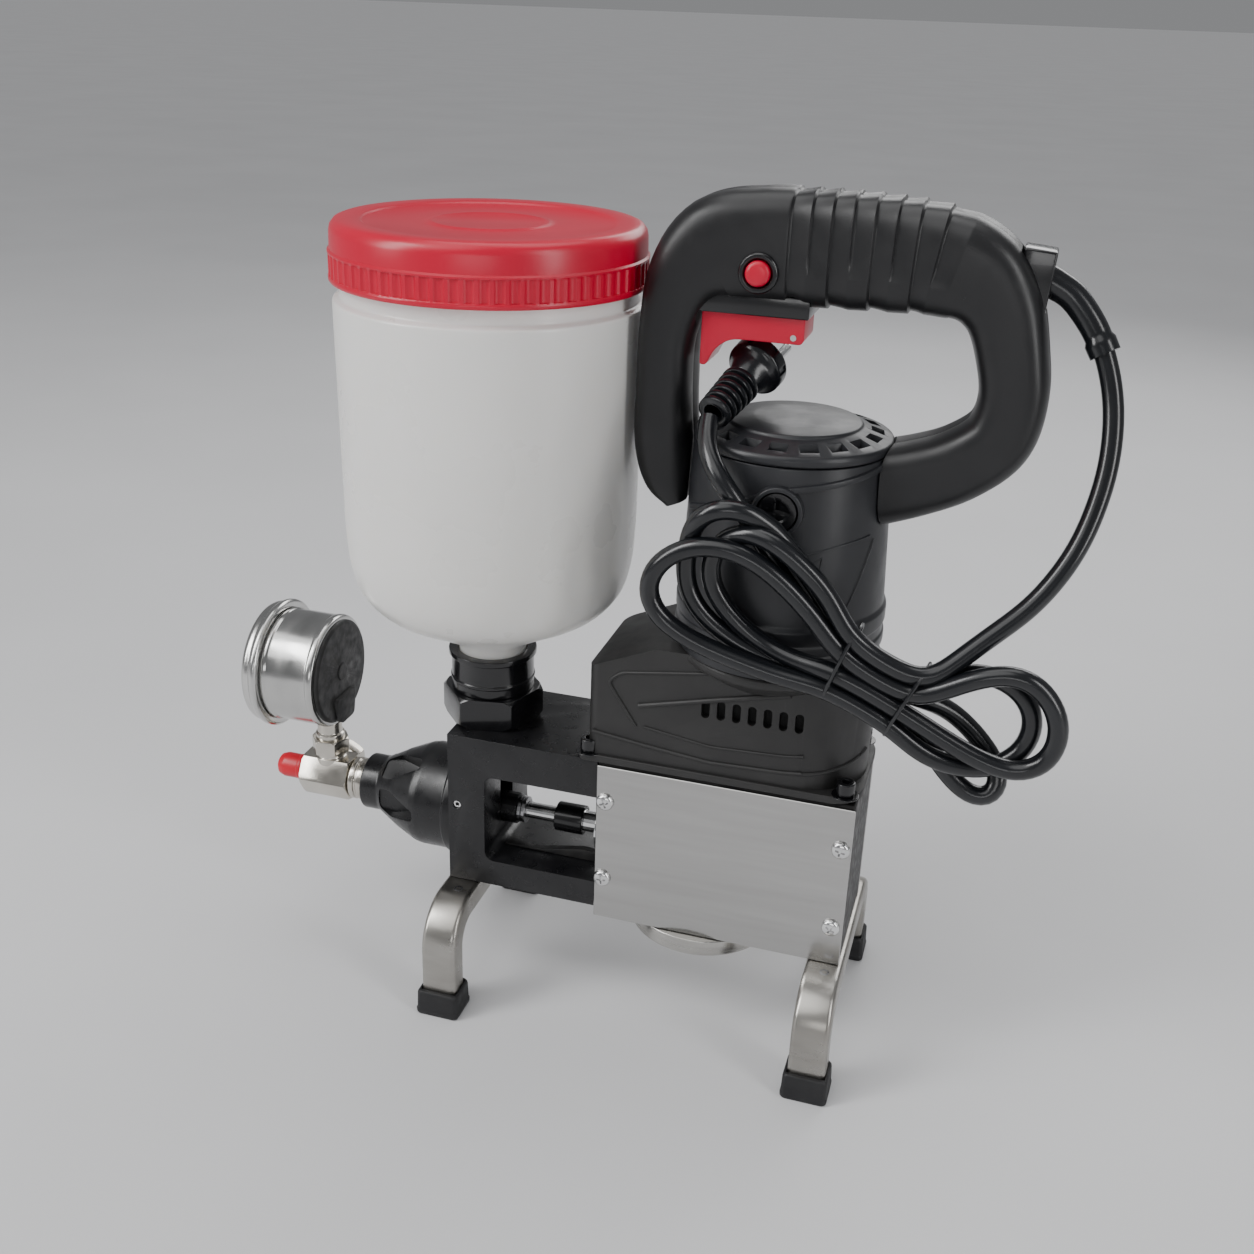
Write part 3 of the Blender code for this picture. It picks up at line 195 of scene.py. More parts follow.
def make_materials():
    """One look for each kind of finish, keyed by the record's slot name or by a name of its own."""
    grey = (0.16, 0.16, 0.16)
    made = {}

    def look(name, *values, **how):
        made[name] = surface(name, *values, **how)

    look(
        "black_paint", (0.005, 0.005, 0.006), (0.011, 0.011, 0.012), (0.24, 0.36), 60, (420, 0.03),
        speck=(grey, 900, 0.16)
    )
    look(
        "cast_black", (0.006, 0.006, 0.007), (0.022, 0.021, 0.020), (0.38, 0.66), 90, (330, 0.30),
        speck=(grey, 600, 0.26)
    )
    look(
        "stainless", (0.43, 0.425, 0.415), (0.49, 0.485, 0.475), (0.17, 0.23), 12, (900, 0.008),
        stretch=(1, 1, 14), metallic=1
    )
    look(
        "turned_stainless", (0.42, 0.41, 0.39), (0.56, 0.55, 0.52), (0.18, 0.30), 20, (900, 0.02),
        stretch=(1, 1, 9), metallic=1
    )
    look(
        "gauge_stainless", (0.46, 0.46, 0.45), (0.60, 0.595, 0.585), (0.14, 0.26), 16, (300, 0.006),
        stretch=(3, 1, 1), metallic=1
    )
    look(
        "brushed_stainless", (0.30, 0.285, 0.26), (0.50, 0.485, 0.455), (0.24, 0.38), 40, (900, 0.03),
        stretch=(0.35, 1, 1), metallic=1, speck=((0.17, 0.15, 0.13), 240, 0.22)
    )
    look(
        "rubber", (0.005, 0.005, 0.006), (0.011, 0.011, 0.012), (0.46, 0.64), 80, (900, 0.10),
        speck=((0.06, 0.058, 0.055), 500, 0.24)
    )
    look(
        "charcoal_plastic", (0.016, 0.0155, 0.0155), (0.022, 0.0215, 0.021), (0.44, 0.54), 40, (2600, 0.08)
    )
    look("motor_plastic", (0.013, 0.0135, 0.016), (0.019, 0.020, 0.023), (0.34, 0.44), 40, (2600, 0.06))
    look("handle_plastic", (0.006, 0.006, 0.007), (0.010, 0.010, 0.011), (0.33, 0.43), 40, (2400, 0.07))
    look(
        "gloss_black", (0.004, 0.004, 0.005), (0.008, 0.008, 0.009), (0.16, 0.26), 50, (300, 0.008),
        coat_weight=0.2
    )
    # painted shade: near-black for the sheets at the bottoms of the gear case's vent slots
    look("painted_slot_shade_black", (0.002, 0.002, 0.002), (0.004, 0.004, 0.004), (0.7, 0.9), 50, (300, 0.05))
    look("red_plastic", (0.50, 0.0010, 0.026), (0.57, 0.0015, 0.032), (0.28, 0.32), 10, (200, 0.003))
    look("red_rubber", (0.54, 0.002, 0.016), (0.64, 0.004, 0.022), (0.30, 0.44), 60, (600, 0.04))
    look(
        "hdpe", (0.74, 0.73, 0.70), (0.84, 0.83, 0.81), (0.24, 0.32), 6, (60, 0.01), subsurface_weight=0.30,
        subsurface_radius=(0.02, 0.018, 0.015), coat_weight=0.2, coat_roughness=0.22
    )
    look(
        "cord_rubber", (0.004, 0.0045, 0.006), (0.007, 0.008, 0.010), (0.21, 0.27), 30, (260, 0.004),
        coat_weight=0.2, coat_roughness=0.18
    )
    look(
        "nickel", (0.50, 0.47, 0.42), (0.66, 0.63, 0.57), (0.17, 0.27), 50, (400, 0.012), metallic=1,
        speck=((0.34, 0.30, 0.24), 260, 0.20)
    )
    look("zinc", (0.66, 0.66, 0.66), (0.82, 0.82, 0.82), (0.14, 0.24), 60, (500, 0.01), metallic=1)
    look("steel", (0.34, 0.34, 0.35), (0.52, 0.52, 0.53), (0.22, 0.36), 50, (700, 0.03), metallic=1)
    look(
        "copper", (0.42, 0.17, 0.08), (0.66, 0.32, 0.17), (0.28, 0.44), 90, (1200, 0.30),
        stretch=(1, 1, 0.2), metallic=1
    )
    look("brass", (0.60, 0.42, 0.15), (0.78, 0.58, 0.24), (0.2, 0.32), 50, (600, 0.02), metallic=1)
    look("carbon", (0.012, 0.012, 0.012), (0.03, 0.03, 0.03), (0.5, 0.7), 80, (900, 0.1))
    look("orange_plastic", (0.70, 0.16, 0.03), (0.80, 0.24, 0.06), (0.35, 0.5), 40, (900, 0.04))
    look("white_rubber", (0.78, 0.78, 0.76), (0.87, 0.87, 0.85), (0.4, 0.55), 40, (700, 0.04))
    look("white_enamel", (0.80, 0.80, 0.78), (0.88, 0.88, 0.86), (0.3, 0.45), 30, (700, 0.02))
    look(
        "clear_lens", (0.90, 0.93, 0.93), (0.97, 0.99, 0.99), (0.02, 0.05), 20, (60, 0.002),
        transmission_weight=1, ior=1.49
    )
    return made


LOOKS = make_materials()


# ---------------------------------------------------------------- mesh tools

def axis_frame(axis, centre):
    letter = "xyz".index(axis)
    z, x = Vector((0, 0, 0)), Vector((0, 0, 0))
    z[letter] = 1
    x[(letter + 1) % 3] = 1
    return Matrix.Translation(Vector(centre)) @ Matrix((x, z.cross(x), z)).transposed().to_4x4()


def direction_frame(direction, centre):
    turn = Vector(direction).to_track_quat("Z", "Y").to_matrix().to_4x4()
    return Matrix.Translation(Vector(centre)) @ turn


def fillet(points, radius, steps=4, closed=False):
    """Round the corners of a polyline; radius is one number, or one for each point."""
    count = len(points)
    radii = radius if isinstance(radius, (list, tuple)) else [radius] * count
    made = []
    for i, point in enumerate(points):
        if (not closed and i in (0, count - 1)) or radii[i] == 0:
            made.append(tuple(point))
            continue
        here = Vector(point)
        before, after = Vector(points[i - 1]) - here, Vector(points[(i + 1) % count]) - here
        reach = min(radii[i], before.length * 0.48, after.length * 0.48)
        start, end = here + before.normalized() * reach, here + after.normalized() * reach
        for k in range(steps + 1):
            t = k / steps
            made.append(tuple(start * (1 - t) ** 2 + here * 2 * t * (1 - t) + end * t * t))
    return made


def smooth_line(points, steps):
    """Catmull-Rom curve; steps is one count, or one for each span."""
    ends = [[2 * a - b for a, b in zip(points[0], points[1])], *points]
    ends.append([2 * a - b for a, b in zip(points[-1], points[-2])])
    line = []
    for k in range(1, len(ends) - 2):
        p0, p1, p2, p3 = ends[k - 1:k + 3]
        count = steps[k - 1] if isinstance(steps, (list, tuple)) else steps
        for i in range(count):
            t = i / count
            line.append([
                0.5 * (
                    2 * b + (c - a) * t + (2 * a - 5 * b + 4 * c - d) * t * t
                    + (3 * b - a - 3 * c + d) * t ** 3
                )
                for a, b, c, d in zip(p0, p1, p2, p3)
            ])
    line.append(list(points[-1]))
    return line


def add_lathe(bm, profile, place, segments=FINE, closed=False, wave=None):
    """Turn (radius, height) points; wave(angle, radius, height) may change the radius."""
    rings = []
    for radius, height in profile:
        if radius < 1e-6:
            rings.append([bm.verts.new(place @ Vector((0, 0, height)))])
            continue
        ring = []
        for i in range(segments):
            a = math.tau * i / segments
            r = wave(a, radius, height) if wave else radius
            ring.append(bm.verts.new(place @ Vector((r * math.cos(a), r * math.sin(a), height))))
        rings.append(ring)
    pairs = list(zip(rings, rings[1:]))
    if closed:
        pairs.append((rings[-1], rings[0]))
    for low, high in pairs:
        for i in range(segments):
            j = (i + 1) % segments
            corners = [low[i % len(low)], low[j % len(low)], high[j % len(high)], high[i % len(high)]]
            unique = list(dict.fromkeys(corners))
            if len(unique) > 2:
                bm.faces.new(unique)


def add_loft(bm, sections, ring=False):
    rings = [[bm.verts.new(Vector(p)) for p in section] for section in sections]
    count = len(rings[0])
    for low, high in zip(rings, rings[1:] + ([rings[0]] if ring else [])):
        for i in range(count):
            j = (i + 1) % count
            bm.faces.new((low[i], low[j], high[j], high[i]))
    if not ring:
        bm.faces.new(rings[0][::-1])
        bm.faces.new(rings[-1])


def add_prism(bm, outline, low, high, place=None):
    place = place or Matrix.Identity(4)
    add_loft(bm, [[place @ Vector((x, y, z)) for x, y in outline] for z in (low, high)])


def add_box(bm, low, high, place=None):
    low, high = Vector(low), Vector(high)
    made = bmesh.ops.create_cube(bm, size=1)["verts"]
    bmesh.ops.scale(bm, vec=high - low, verts=made)
    bmesh.ops.translate(bm, vec=(low + high) / 2, verts=made)
    if place:
        bmesh.ops.transform(bm, matrix=place, verts=made)


def add_tube(bm, points, radius, sides=10, ring=False, flat=1):
    """Round bar along points; flat squeezes it across its second direction."""
    sections = []
    count = len(points)
    for k in range(count):
        if ring:
            before, after = points[k - 1], points[(k + 1) % count]
        else:
            before, after = points[max(k - 1, 0)], points[min(k + 1, count - 1)]
        along = (Vector(after) - Vector(before)).normalized()
        guide = Vector((0, 1, 0)) if abs(along.y) < 0.9 else Vector((1, 0, 0))
        side = along.cross(guide).normalized()
        up = side.cross(along)
        r = radius(k / (count - 1)) if callable(radius) else radius
        turn = [math.tau * i / sides for i in range(sides)]
        sections.append(
            [Vector(points[k]) + side * (r * math.cos(a)) + up * (r * flat * math.sin(a)) for a in turn]
        )
    add_loft(bm, sections, ring)


def rounded_rectangle(low, high, radius, steps=6):
    radii = radius if isinstance(radius, (tuple, list)) else (radius,) * 4
    corners = [(high[0], high[1]), (low[0], high[1]), (low[0], low[1]), (high[0], low[1])]
    outline = []
    for quarter, ((x, y), r) in enumerate(zip(corners, radii)):
        cx = x - r if quarter in (0, 3) else x + r
        cy = y - r if quarter in (0, 1) else y + r
        for i in range(steps + 1):
            a = math.pi / 2 * (quarter + i / steps)
            outline.append((cx + r * math.cos(a), cy + r * math.sin(a)))
    return outline


def hexagon(across_corners, turn=0):
    angles = [turn + math.tau * i / 6 for i in range(6)]
    return [(across_corners / 2 * math.cos(a), across_corners / 2 * math.sin(a)) for a in angles]


def fresh(add):
    """An add_ function that fills a new mesh and returns it."""
    def made(*values, **how):
        bm = bmesh.new()
        add(bm, *values, **how)
        return bm

    return made


new_lathe, new_prism, new_box = fresh(add_lathe), fresh(add_prism), fresh(add_box)
new_loft, new_tube = fresh(add_loft), fresh(add_tube)


def link_mesh(name, bm):
    bmesh.ops.remove_doubles(bm, verts=bm.verts, dist=WELD)
    bmesh.ops.recalc_face_normals(bm, faces=bm.faces)
    bmesh.ops.scale(bm, vec=(MM, MM, MM), verts=bm.verts)
    mesh = bpy.data.meshes.new(name)
    bm.to_mesh(mesh)
    bm.free()
    obj = bpy.data.objects.new(name, mesh)
    bpy.context.scene.collection.objects.link(obj)
    return obj


def apply_modifiers(obj):
    graph = bpy.context.evaluated_depsgraph_get()
    mesh = bpy.data.meshes.new_from_object(obj.evaluated_get(graph))
    old = obj.data
    obj.modifiers.clear()
    obj.data = mesh
    bpy.data.meshes.remove(old)


def carve(obj, operation, tools, solver="EXACT"):
    """Boolean with each tool mesh in turn, applied at once; the tools are removed."""
    for k, bm in enumerate(tools):
        tool = link_mesh(f"tool_{k}", bm)
        step = obj.modifiers.new("carve", "BOOLEAN")
        step.operation = operation
        step.solver = solver
        step.object = tool
        apply_modifiers(obj)
        bpy.data.objects.remove(tool, do_unlink=True)


def shape(name, bm, cut=(), join=(), keep=(), bevel=0, segments=3, angle=35, solver="EXACT"):
    """Mesh object with its Booleans applied, rounded edges and smooth shading."""
    obj = link_mesh(name, bm)
    carve(obj, "UNION", join, solver)
    carve(obj, "INTERSECT", keep, solver)
    carve(obj, "DIFFERENCE", cut, solver)
    if bevel:
        step = obj.modifiers.new("bevel", "BEVEL")
        step.width = bevel * MM
        step.segments = segments
        step.limit_method = "ANGLE"
        step.angle_limit = math.radians(BEVEL_FROM)
        apply_modifiers(obj)
    obj.data.shade_smooth()
    obj.data.set_sharp_from_angle(angle=math.radians(angle))
    return obj


def place_piece(obj, look, body="frame", slot=None, stands_for=()):
    obj.data.materials.clear()
    obj.data.materials.append(LOOKS[look])
    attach(obj, body)
    if stands_for:
        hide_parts(*stands_for)
    return obj


def turned(name, profile, look, axis="z", centre=(0, 0, 0), segments=FINE, closed=False, radius=0.6, **how):
    """Turned piece with rounded profile corners."""
    bm = new_lathe(fillet(profile, radius, 3, closed), axis_frame(axis, centre), segments, closed)
    return place_piece(shape(name, bm, angle=40), look, **how)


# ---------------------------------------------------------------- cord, hank, ties and plug

CORD_D = 8.4
FRONT_Y, BACK_Y = -61.6, -52.9
SLEEVE_ROUTE = [
    (174.5, 0, 376.8), (178.4, 0, 375.2), (186.2, -0.5, 370.6), (194.9, -3, 361), (201.4, -6, 350.7)
]
UPPER_ROUTE = [
    (198.9, -4.7, 355.3), (202.1, -6.6, 349.3), (207.6, -12, 332.4), (209.3, -20, 311),
    (206.2, -28, 290.6), (200.4, -35.5, 274), (188.7, -43.5, 255.8), (173.5, -51, 242),
    (162.3, -56.5, 232),
]
LOWER_ROUTE = [(63.5, -53, 290.5), (58.5, -51, 296), (52.8, -46, 302), (49, -38, 309), (48.8, -31.6, 314)]
LEFT_TIE, LEFT_UP = Vector((117, 0, 225)), Vector((0.33, 0, 0.94)).normalized()
RIGHT_TIE, RIGHT_UP = Vector((145, 0, 212.5)), Vector((0.40, 0, 0.92)).normalized()
# strands in the waist between the ties: place along the tie, and layer
STRANDS = {
    "a": (12.6, FRONT_Y), "b": (4.2, FRONT_Y), "c": (-4.2, FRONT_Y), "d": (-12.6, FRONT_Y),
    "e": (8.4, BACK_Y), "f": (0, BACK_Y), "g": (-8.4, BACK_Y)
}
LOOP_LEFT_MIDDLE = [
    (109.6, -61.5, 254.8), (95, -61.5, 268), (84.5, -61, 275), (75, -59.5, 276.8), (66, -56, 273.5),
    (58.5, -53.8, 264), (57.5, -53, 252), (64, -53, 240.5), (76, -53, 229.5), (94, -55.5, 222),
]
LOOP_LEFT_FRONT = [
    (106, -62, 243), (92.5, -62.3, 256), (78, -62.5, 266.2), (62.5, -62.5, 270.2), (47.5, -62.5, 267),
    (36.5, -62.3, 258), (32.8, -62, 246.5), (38.5, -62, 235), (54, -62, 226.3), (73, -62, 220.6),
    (94, -61.8, 215.8),
]
LOOP_LEFT_TOP = [
    (109.5, -53, 246), (99, -53, 259.5), (90.5, -53, 269.5), (82, -53.8, 278.5), (72.5, -59.5, 285.5),
    (61.5, -61.5, 286.5), (52.2, -60, 279.5), (48.3, -55, 267), (47, -53, 251), (52, -53, 238.5),
    (66, -53, 226.8), (88, -53, 218.5),
]
LOOP_RIGHT_OUTER = [
    (159, -61.8, 200.8), (175, -61.6, 193.2), (191, -61, 188.8), (203, -60.5, 194.5), (206.8, -60.5, 210),
    (200, -60.8, 225), (187.5, -61.2, 232.6), (172.5, -61.6, 228.8), (158.5, -61.8, 221),
]
LOOP_RIGHT_INNER = [
    (151.5, -61.3, 192), (163, -59.5, 187), (176, -56, 184.8), (188.5, -53.5, 189), (195.8, -52.5, 200),
    (195.5, -52.3, 213.5), (187, -52.4, 223.5), (174, -52.6, 227.4), (160.5, -52.8, 224.4),
]
LOOP_RIGHT_LOWER = [
    (151, -52.5, 196), (161.5, -52, 182.5), (171.5, -52, 172), (180.5, -52.5, 168.4), (186.6, -51, 172.5),
    (186, -47.5, 181.5), (177, -44.2, 192), (166, -44, 202), (155.5, -48, 209),
]


def waist(strand, leftwards):
    along, y = STRANDS[strand]
    ties = ((LEFT_TIE, LEFT_UP), (RIGHT_TIE, RIGHT_UP))
    points = [tuple(tie + up * along + Vector((0, y, 0))) for tie, up in ties]
    return points[::-1] if leftwards else points


def cord_route():
    """Points of the whole cord, from the strain relief through the hank to the plug's boot."""
    route = list(UPPER_ROUTE)
    route += waist("a", True) + LOOP_LEFT_MIDDLE + waist("c", False) + LOOP_RIGHT_OUTER
    route += waist("b", True) + LOOP_LEFT_FRONT + waist("d", False) + LOOP_RIGHT_INNER
    route += waist("e", True) + LOOP_LEFT_TOP + waist("g", False) + LOOP_RIGHT_LOWER
    route += waist("f", True) + [
        (105, -53, 238), (94, -53, 250.5), (84, -53, 263), (75.5, -52.8, 275.5), (69, -53, 284)
    ]
    return route + LOWER_ROUTE


def even_line(points, step):
    """The polyline resampled at even steps along its length."""
    total = line_length(points)
    count = round(total / step)
    marks = [total * k / count for k in range(1, count)]
    line, walked = [Vector(points[0])], 0
    for a, b in zip(points, points[1:]):
        a, b = Vector(a), Vector(b)
        length = (b - a).length
        while marks and marks[0] <= walked + length:
            line.append(a + (b - a) * ((marks.pop(0) - walked) / length))
        walked += length
    return line + [Vector(points[-1])]


def relax(line, passes):
    """Ease out sharp bends as a stiff cord would."""
    for _ in range(passes):
        inner = [(a + b * 2 + c) / 4 for a, b, c in zip(line, line[1:], line[2:])]
        line = [line[0], *inner, line[-1]]
    return line


def line_length(points):
    return sum((Vector(b) - Vector(a)).length for a, b in zip(points, points[1:]))


def make_cord():
    line = relax(even_line(smooth_line([list(p) for p in cord_route()], 8), 3), 10)
    curve = bpy.data.curves.new("mains_cord", "CURVE")
    curve.dimensions = "3D"
    curve.bevel_depth = CORD_D / 2 * MM
    curve.bevel_resolution = 6
    curve.use_fill_caps = True
    spline = curve.splines.new("POLY")
    spline.points.add(len(line) - 1)
    for point, place in zip(spline.points, line):
        point.co = (*(Vector(place) * MM), 1)
    spline.use_smooth = True
    cord = bpy.data.objects.new("mains_cord", curve)
    bpy.context.scene.collection.objects.link(cord)
    place_piece(cord, "cord_rubber", stands_for=("cord_upper", "cord_hank", "cord_lower"))


def make_ties():
    """Thin wire ties round the waist of the hank."""
    made = []
    for name, tie, up in (("left_tie", LEFT_TIE, LEFT_UP), ("right_tie", RIGHT_TIE, RIGHT_UP)):
        middle = Vector((0, (FRONT_Y + BACK_Y) / 2, 0)) + tie
        half_up, half_y = 17.7, 9.5
        points = []
        for i in range(48):
            a = math.tau * i / 48
            c, s = math.cos(a), math.sin(a)
            wide = math.copysign(abs(s) ** 0.6, s) * half_y
            tall = math.copysign(abs(c) ** 0.75, c) * half_up
            lean = Vector((up.z, 0, -up.x)) * (1.3 * s)
            points.append(middle + up * tall + Vector((0, wide, 0)) + lean)
        bm = new_tube(points, 0.85, 8, ring=True)
        made.append(place_piece(shape(name, bm), "cord_rubber"))
    return made


PLUG_END = Vector((49.5, -29, 315.5))
PLUG_AXIS = Vector((0.30, 0.87, 0.39)).normalized()


def make_plug():
    place = direction_frame(PLUG_AXIS, PLUG_END)
    boot = [(4.3, 0.2), (5.6, 0.2)]
    for k in range(6):
        low, r = 0.8 + 4 * k, 5.9 + 0.22 * k
        boot += [(r + 1.6, low), (r + 1.6, low + 2.3), (r - 0.4, low + 2.7), (r - 0.4, low + 3.7)]
    boot += [(7.6, 25), (4.3, 25)]
    bm = new_lathe(fillet(boot, 0.5, 2, True), place, 40, closed=True)
    boot_piece = place_piece(shape("plug_boot", bm), "cord_rubber")
    body = [
        (0, 24), (7, 24), (8.4, 27.5), (9.6, 31), (11.2, 33.2), (12.6, 34), (12.8, 36), (12.8, 40),
        (12, 41.2), (0, 41.2)
    ]
    bm = new_lathe(fillet(body, 0.8, 3), place, 64)
    grips = []
    for k in range(8):
        turn = Matrix.Rotation(math.tau * k / 8, 4, "Z")
        cutter = new_box((11.9, -1.6, 34.8), (14, 1.6, 39.4), place @ turn)
        grips.append(cutter)
    plug = place_piece(
        shape("plug_body", bm, cut=grips, bevel=0.25, segments=2), "cord_rubber", stands_for=("plug",)
    )
    bm = bmesh.new()
    for offset in (-5.5, 5.5):
        pin = [(0, 41), (2, 41), (2, 53.6), (1.3, 54.8), (0, 54.9)]
        add_lathe(bm, pin, place @ Matrix.Translation((offset, 0, 0)), 20)
    pins = place_piece(shape("plug_pins", bm), "zinc")
    return [boot_piece, plug, pins]


def make_strain_relief():
    line = smooth_line([list(p) for p in SLEEVE_ROUTE], 7)

    def radius(t):
        collar = 0.9 if t > 0.86 else 0
        return 6.3 - 1 * t + collar

    bm = new_tube(line, radius, 32)
    sleeve = shape("strain_relief_sleeve", bm, angle=50)
    wedge = new_prism([(165, 389.6), (178, 388.4), (176.4, 365.4), (165, 365.4)], -7.9, 7.9, UPRIGHT)
    socket = shape("strain_relief_socket", wedge, bevel=1)
    place_piece(sleeve, "cord_rubber", stands_for=("strain_relief",))
    place_piece(socket, "gloss_black", slot="cord_rubber")
    return sleeve


# ---------------------------------------------------------------- handle and its controls

# middle line of the D handle: x, z, half thickness in the plane, half width across
HANDLE_SPINE = [
    (30.5, 268, 5.5, 13), (26, 279, 11.5, 15.5), (22.8, 296, 13, 17), (22, 320, 12.2, 17.5),
    (22.8, 345, 12.5, 18), (29, 366, 16.5, 18.5), (42, 379, 21.5, 19), (62, 382, 23, 19),
    (88, 382.3, 23.5, 19), (114, 382.2, 22.8, 19), (134, 381, 21.5, 19), (149.5, 376, 19.5, 18.8),
    (160, 364.5, 16, 18.5), (166, 347, 14.5, 18.2), (168.8, 329, 14.2, 18), (164.8, 311.5, 14.8, 18),
    (151, 299, 15.4, 18), (134, 291, 16.2, 18), (114, 284.5, 17.5, 18),
]
RIDGE_FIRST, RIDGE_PITCH, RIDGES, RIDGE_DEPTH = 73.6, 8.4, 8, 1.3
GRIP_Z = 375                                       # only the grip above this has ridges
HANDLE_SQUARE = 0.58                               # 1 is an ellipse, lower is squarer


def groove(x):
    """(depth, whether it runs the whole way round) of the grip's stepped cross ridges at x."""
    k = math.floor((x - RIDGE_FIRST) / RIDGE_PITCH)
    if not 0 <= k < RIDGES:
        return 0, True
    past = x - RIDGE_FIRST - k * RIDGE_PITCH
    fall = min(1, past / 0.8)
    rise = 1 - (past / RIDGE_PITCH) ** 1.5
    return RIDGE_DEPTH * fall * rise, k % 2 == 0


def handle_half(side):
    spans = [6] * 6 + [56] * 5 + [10] * 7
    line = smooth_line([list(p) for p in HANDLE_SPINE], spans)
    steps, sections = 36, []
    for k, (x, z, half, width) in enumerate(line):
        before, after = line[max(k - 1, 0)], line[min(k + 1, len(line) - 1)]
        along = Vector((after[0] - before[0], 0, after[1] - before[1])).normalized()
        outward = Vector((-along.z, 0, along.x))
        depth, whole = groove(x) if z > GRIP_Z else (0, True)
        ring = []
        for i in range(steps + 1):
            a = math.pi * i / steps
            c, w = math.cos(a), math.sin(a)
            cut = depth if whole or c > -0.1 else 0
            seam = 0.8 if i in (0, steps) else 0
            across = max((width - cut) * abs(w) ** HANDLE_SQUARE, 0.15)
            lift = (half - cut - seam) * math.copysign(abs(c) ** HANDLE_SQUARE, c)
            ring.append(Vector((x, side * across, z)) + outward * lift)
        sections.append(ring)
    bm = new_loft(sections)
    return bm


def handle_cutters():
    motor = new_lathe([(0, 190), (48.2, 190), (43.9, 302), (43.9, 335), (0, 335)],
        axis_frame("z", (MOTOR_X, 0, 0)), 96
    )
    shroud = new_box((36.2, -14.6, 335), (84.3, 14.6, 363.8))
    socket = new_prism([(164, 390.2), (178.2, 389), (176.6, 364.8), (164, 364.8)], -8.3, 8.3, UPRIGHT)
    bore = new_lathe([(0, -30), (5.7, -30), (5.7, -11), (0, -11)], axis_frame("y", LOCK_AXIS), 40
    )
    return [motor, shroud, socket, bore]


def make_handle():
    for end, side in (("front", -1), ("rear", 1)):
        shell = shape(
            f"handle_{end}_skin", handle_half(side), cut=handle_cutters(), angle=32, solver="MANIFOLD"
        )
        place_piece(shell, "handle_plastic", stands_for=(f"handle_{end}_shell",))
    ring = [(5.7, -17), (8.4, -17), (8.4, -19.9), (7.6, -20.7), (6.3, -20.7), (5.7, -20)]
    turned(
        "lock_ring", ring, "gloss_black", "y", LOCK_AXIS, 64, closed=True, slot="handle_plastic",
        radius=0.4
    )


def make_controls():
    bm = new_box((36.5, -14.2, 354.6), (84, 14.2, 363.5))
    cutter = new_box((38, -11.5, 350), (82.5, 11.5, 370))
    shroud = shape("trigger_shroud", bm, cut=[cutter], bevel=0.7)
    place_piece(shroud, "gloss_black", stands_for=("switch_shroud",))
    outline = [
        (38.3, 362), (38.3, 331.5), (41, 331.5), (44.5, 339), (51, 343.6), (81, 343.6), (82.2, 345.2),
        (82.2, 362),
    ]
    bm = new_prism(fillet(outline, [0, 1.5, 1.5, 4, 6, 1.2, 1, 0], 4, True), -11.2, 11.2, UPRIGHT)
    trigger = shape("trigger_skin", bm, bevel=0.9)
    place_piece(trigger, "red_plastic", "trigger", stands_for=("trigger",))
    pin = new_lathe([(0, -11.6), (1.3, -11.6), (1.3, -11), (0, -11)], axis_frame("y", (77.8, 0, 346.4)), 24
    )
    place_piece(shape("trigger_pin", pin), "zinc", "trigger")
    button = [(0, -23), (3.6, -22.8), (5, -22), (5.3, -20.8), (5.3, -13.2), (0, -13.2)]
    bm = new_lathe(fillet(button, 0.8, 4), axis_frame("y", LOCK_AXIS), 48)
    place_piece(
        shape("lock_button_skin", bm, angle=50), "red_plastic", "lock_button", stands_for=("lock_button",)
    )


# ---------------------------------------------------------------- motor

SKIN_LOW_R, SKIN_TOP_R, SKIN_LOW_Z, SKIN_HEIGHT = 46, 43, 230.5, 69.5


def motor_radius(z):
    return SKIN_LOW_R + (SKIN_TOP_R - SKIN_LOW_R) * (z - SKIN_LOW_Z) / SKIN_HEIGHT


def motor_strip(name, points, width, proud):
    """Raised strip that follows the motor's skin through (degrees, z) points."""
    line = smooth_line([list(p) for p in points], 10)
    sections = []
    for k, (angle, z) in enumerate(line):
        before, after = line[max(k - 1, 0)], line[min(k + 1, len(line) - 1)]
        da = math.radians(after[0] - before[0]) * motor_radius(z)
        dz = after[1] - before[1]
        scale = math.hypot(da, dz)
        side_a, side_z = -dz / scale, da / scale
        ring = []
        for off, lift in (
            (-width / 2, -0.8), (-width / 2 + 0.5, proud), (width / 2 - 0.5, proud), (width / 2, -0.8)
        ):
            zz = z + side_z * off
            aa = math.radians(angle) + side_a * off / motor_radius(z)
            r = motor_radius(zz) + lift
            ring.append(Vector((MOTOR_X + r * math.cos(aa), r * math.sin(aa), zz)))
        sections.append(ring)
    bm = new_loft(sections)
    place_piece(shape(name, bm, bevel=0.2, segments=2), "motor_plastic")


def brush_frame(side):
    a = BRUSH_ANGLE + side
    return direction_frame((math.cos(a), math.sin(a), 0), (MOTOR_X, 0, BRUSH_Z))


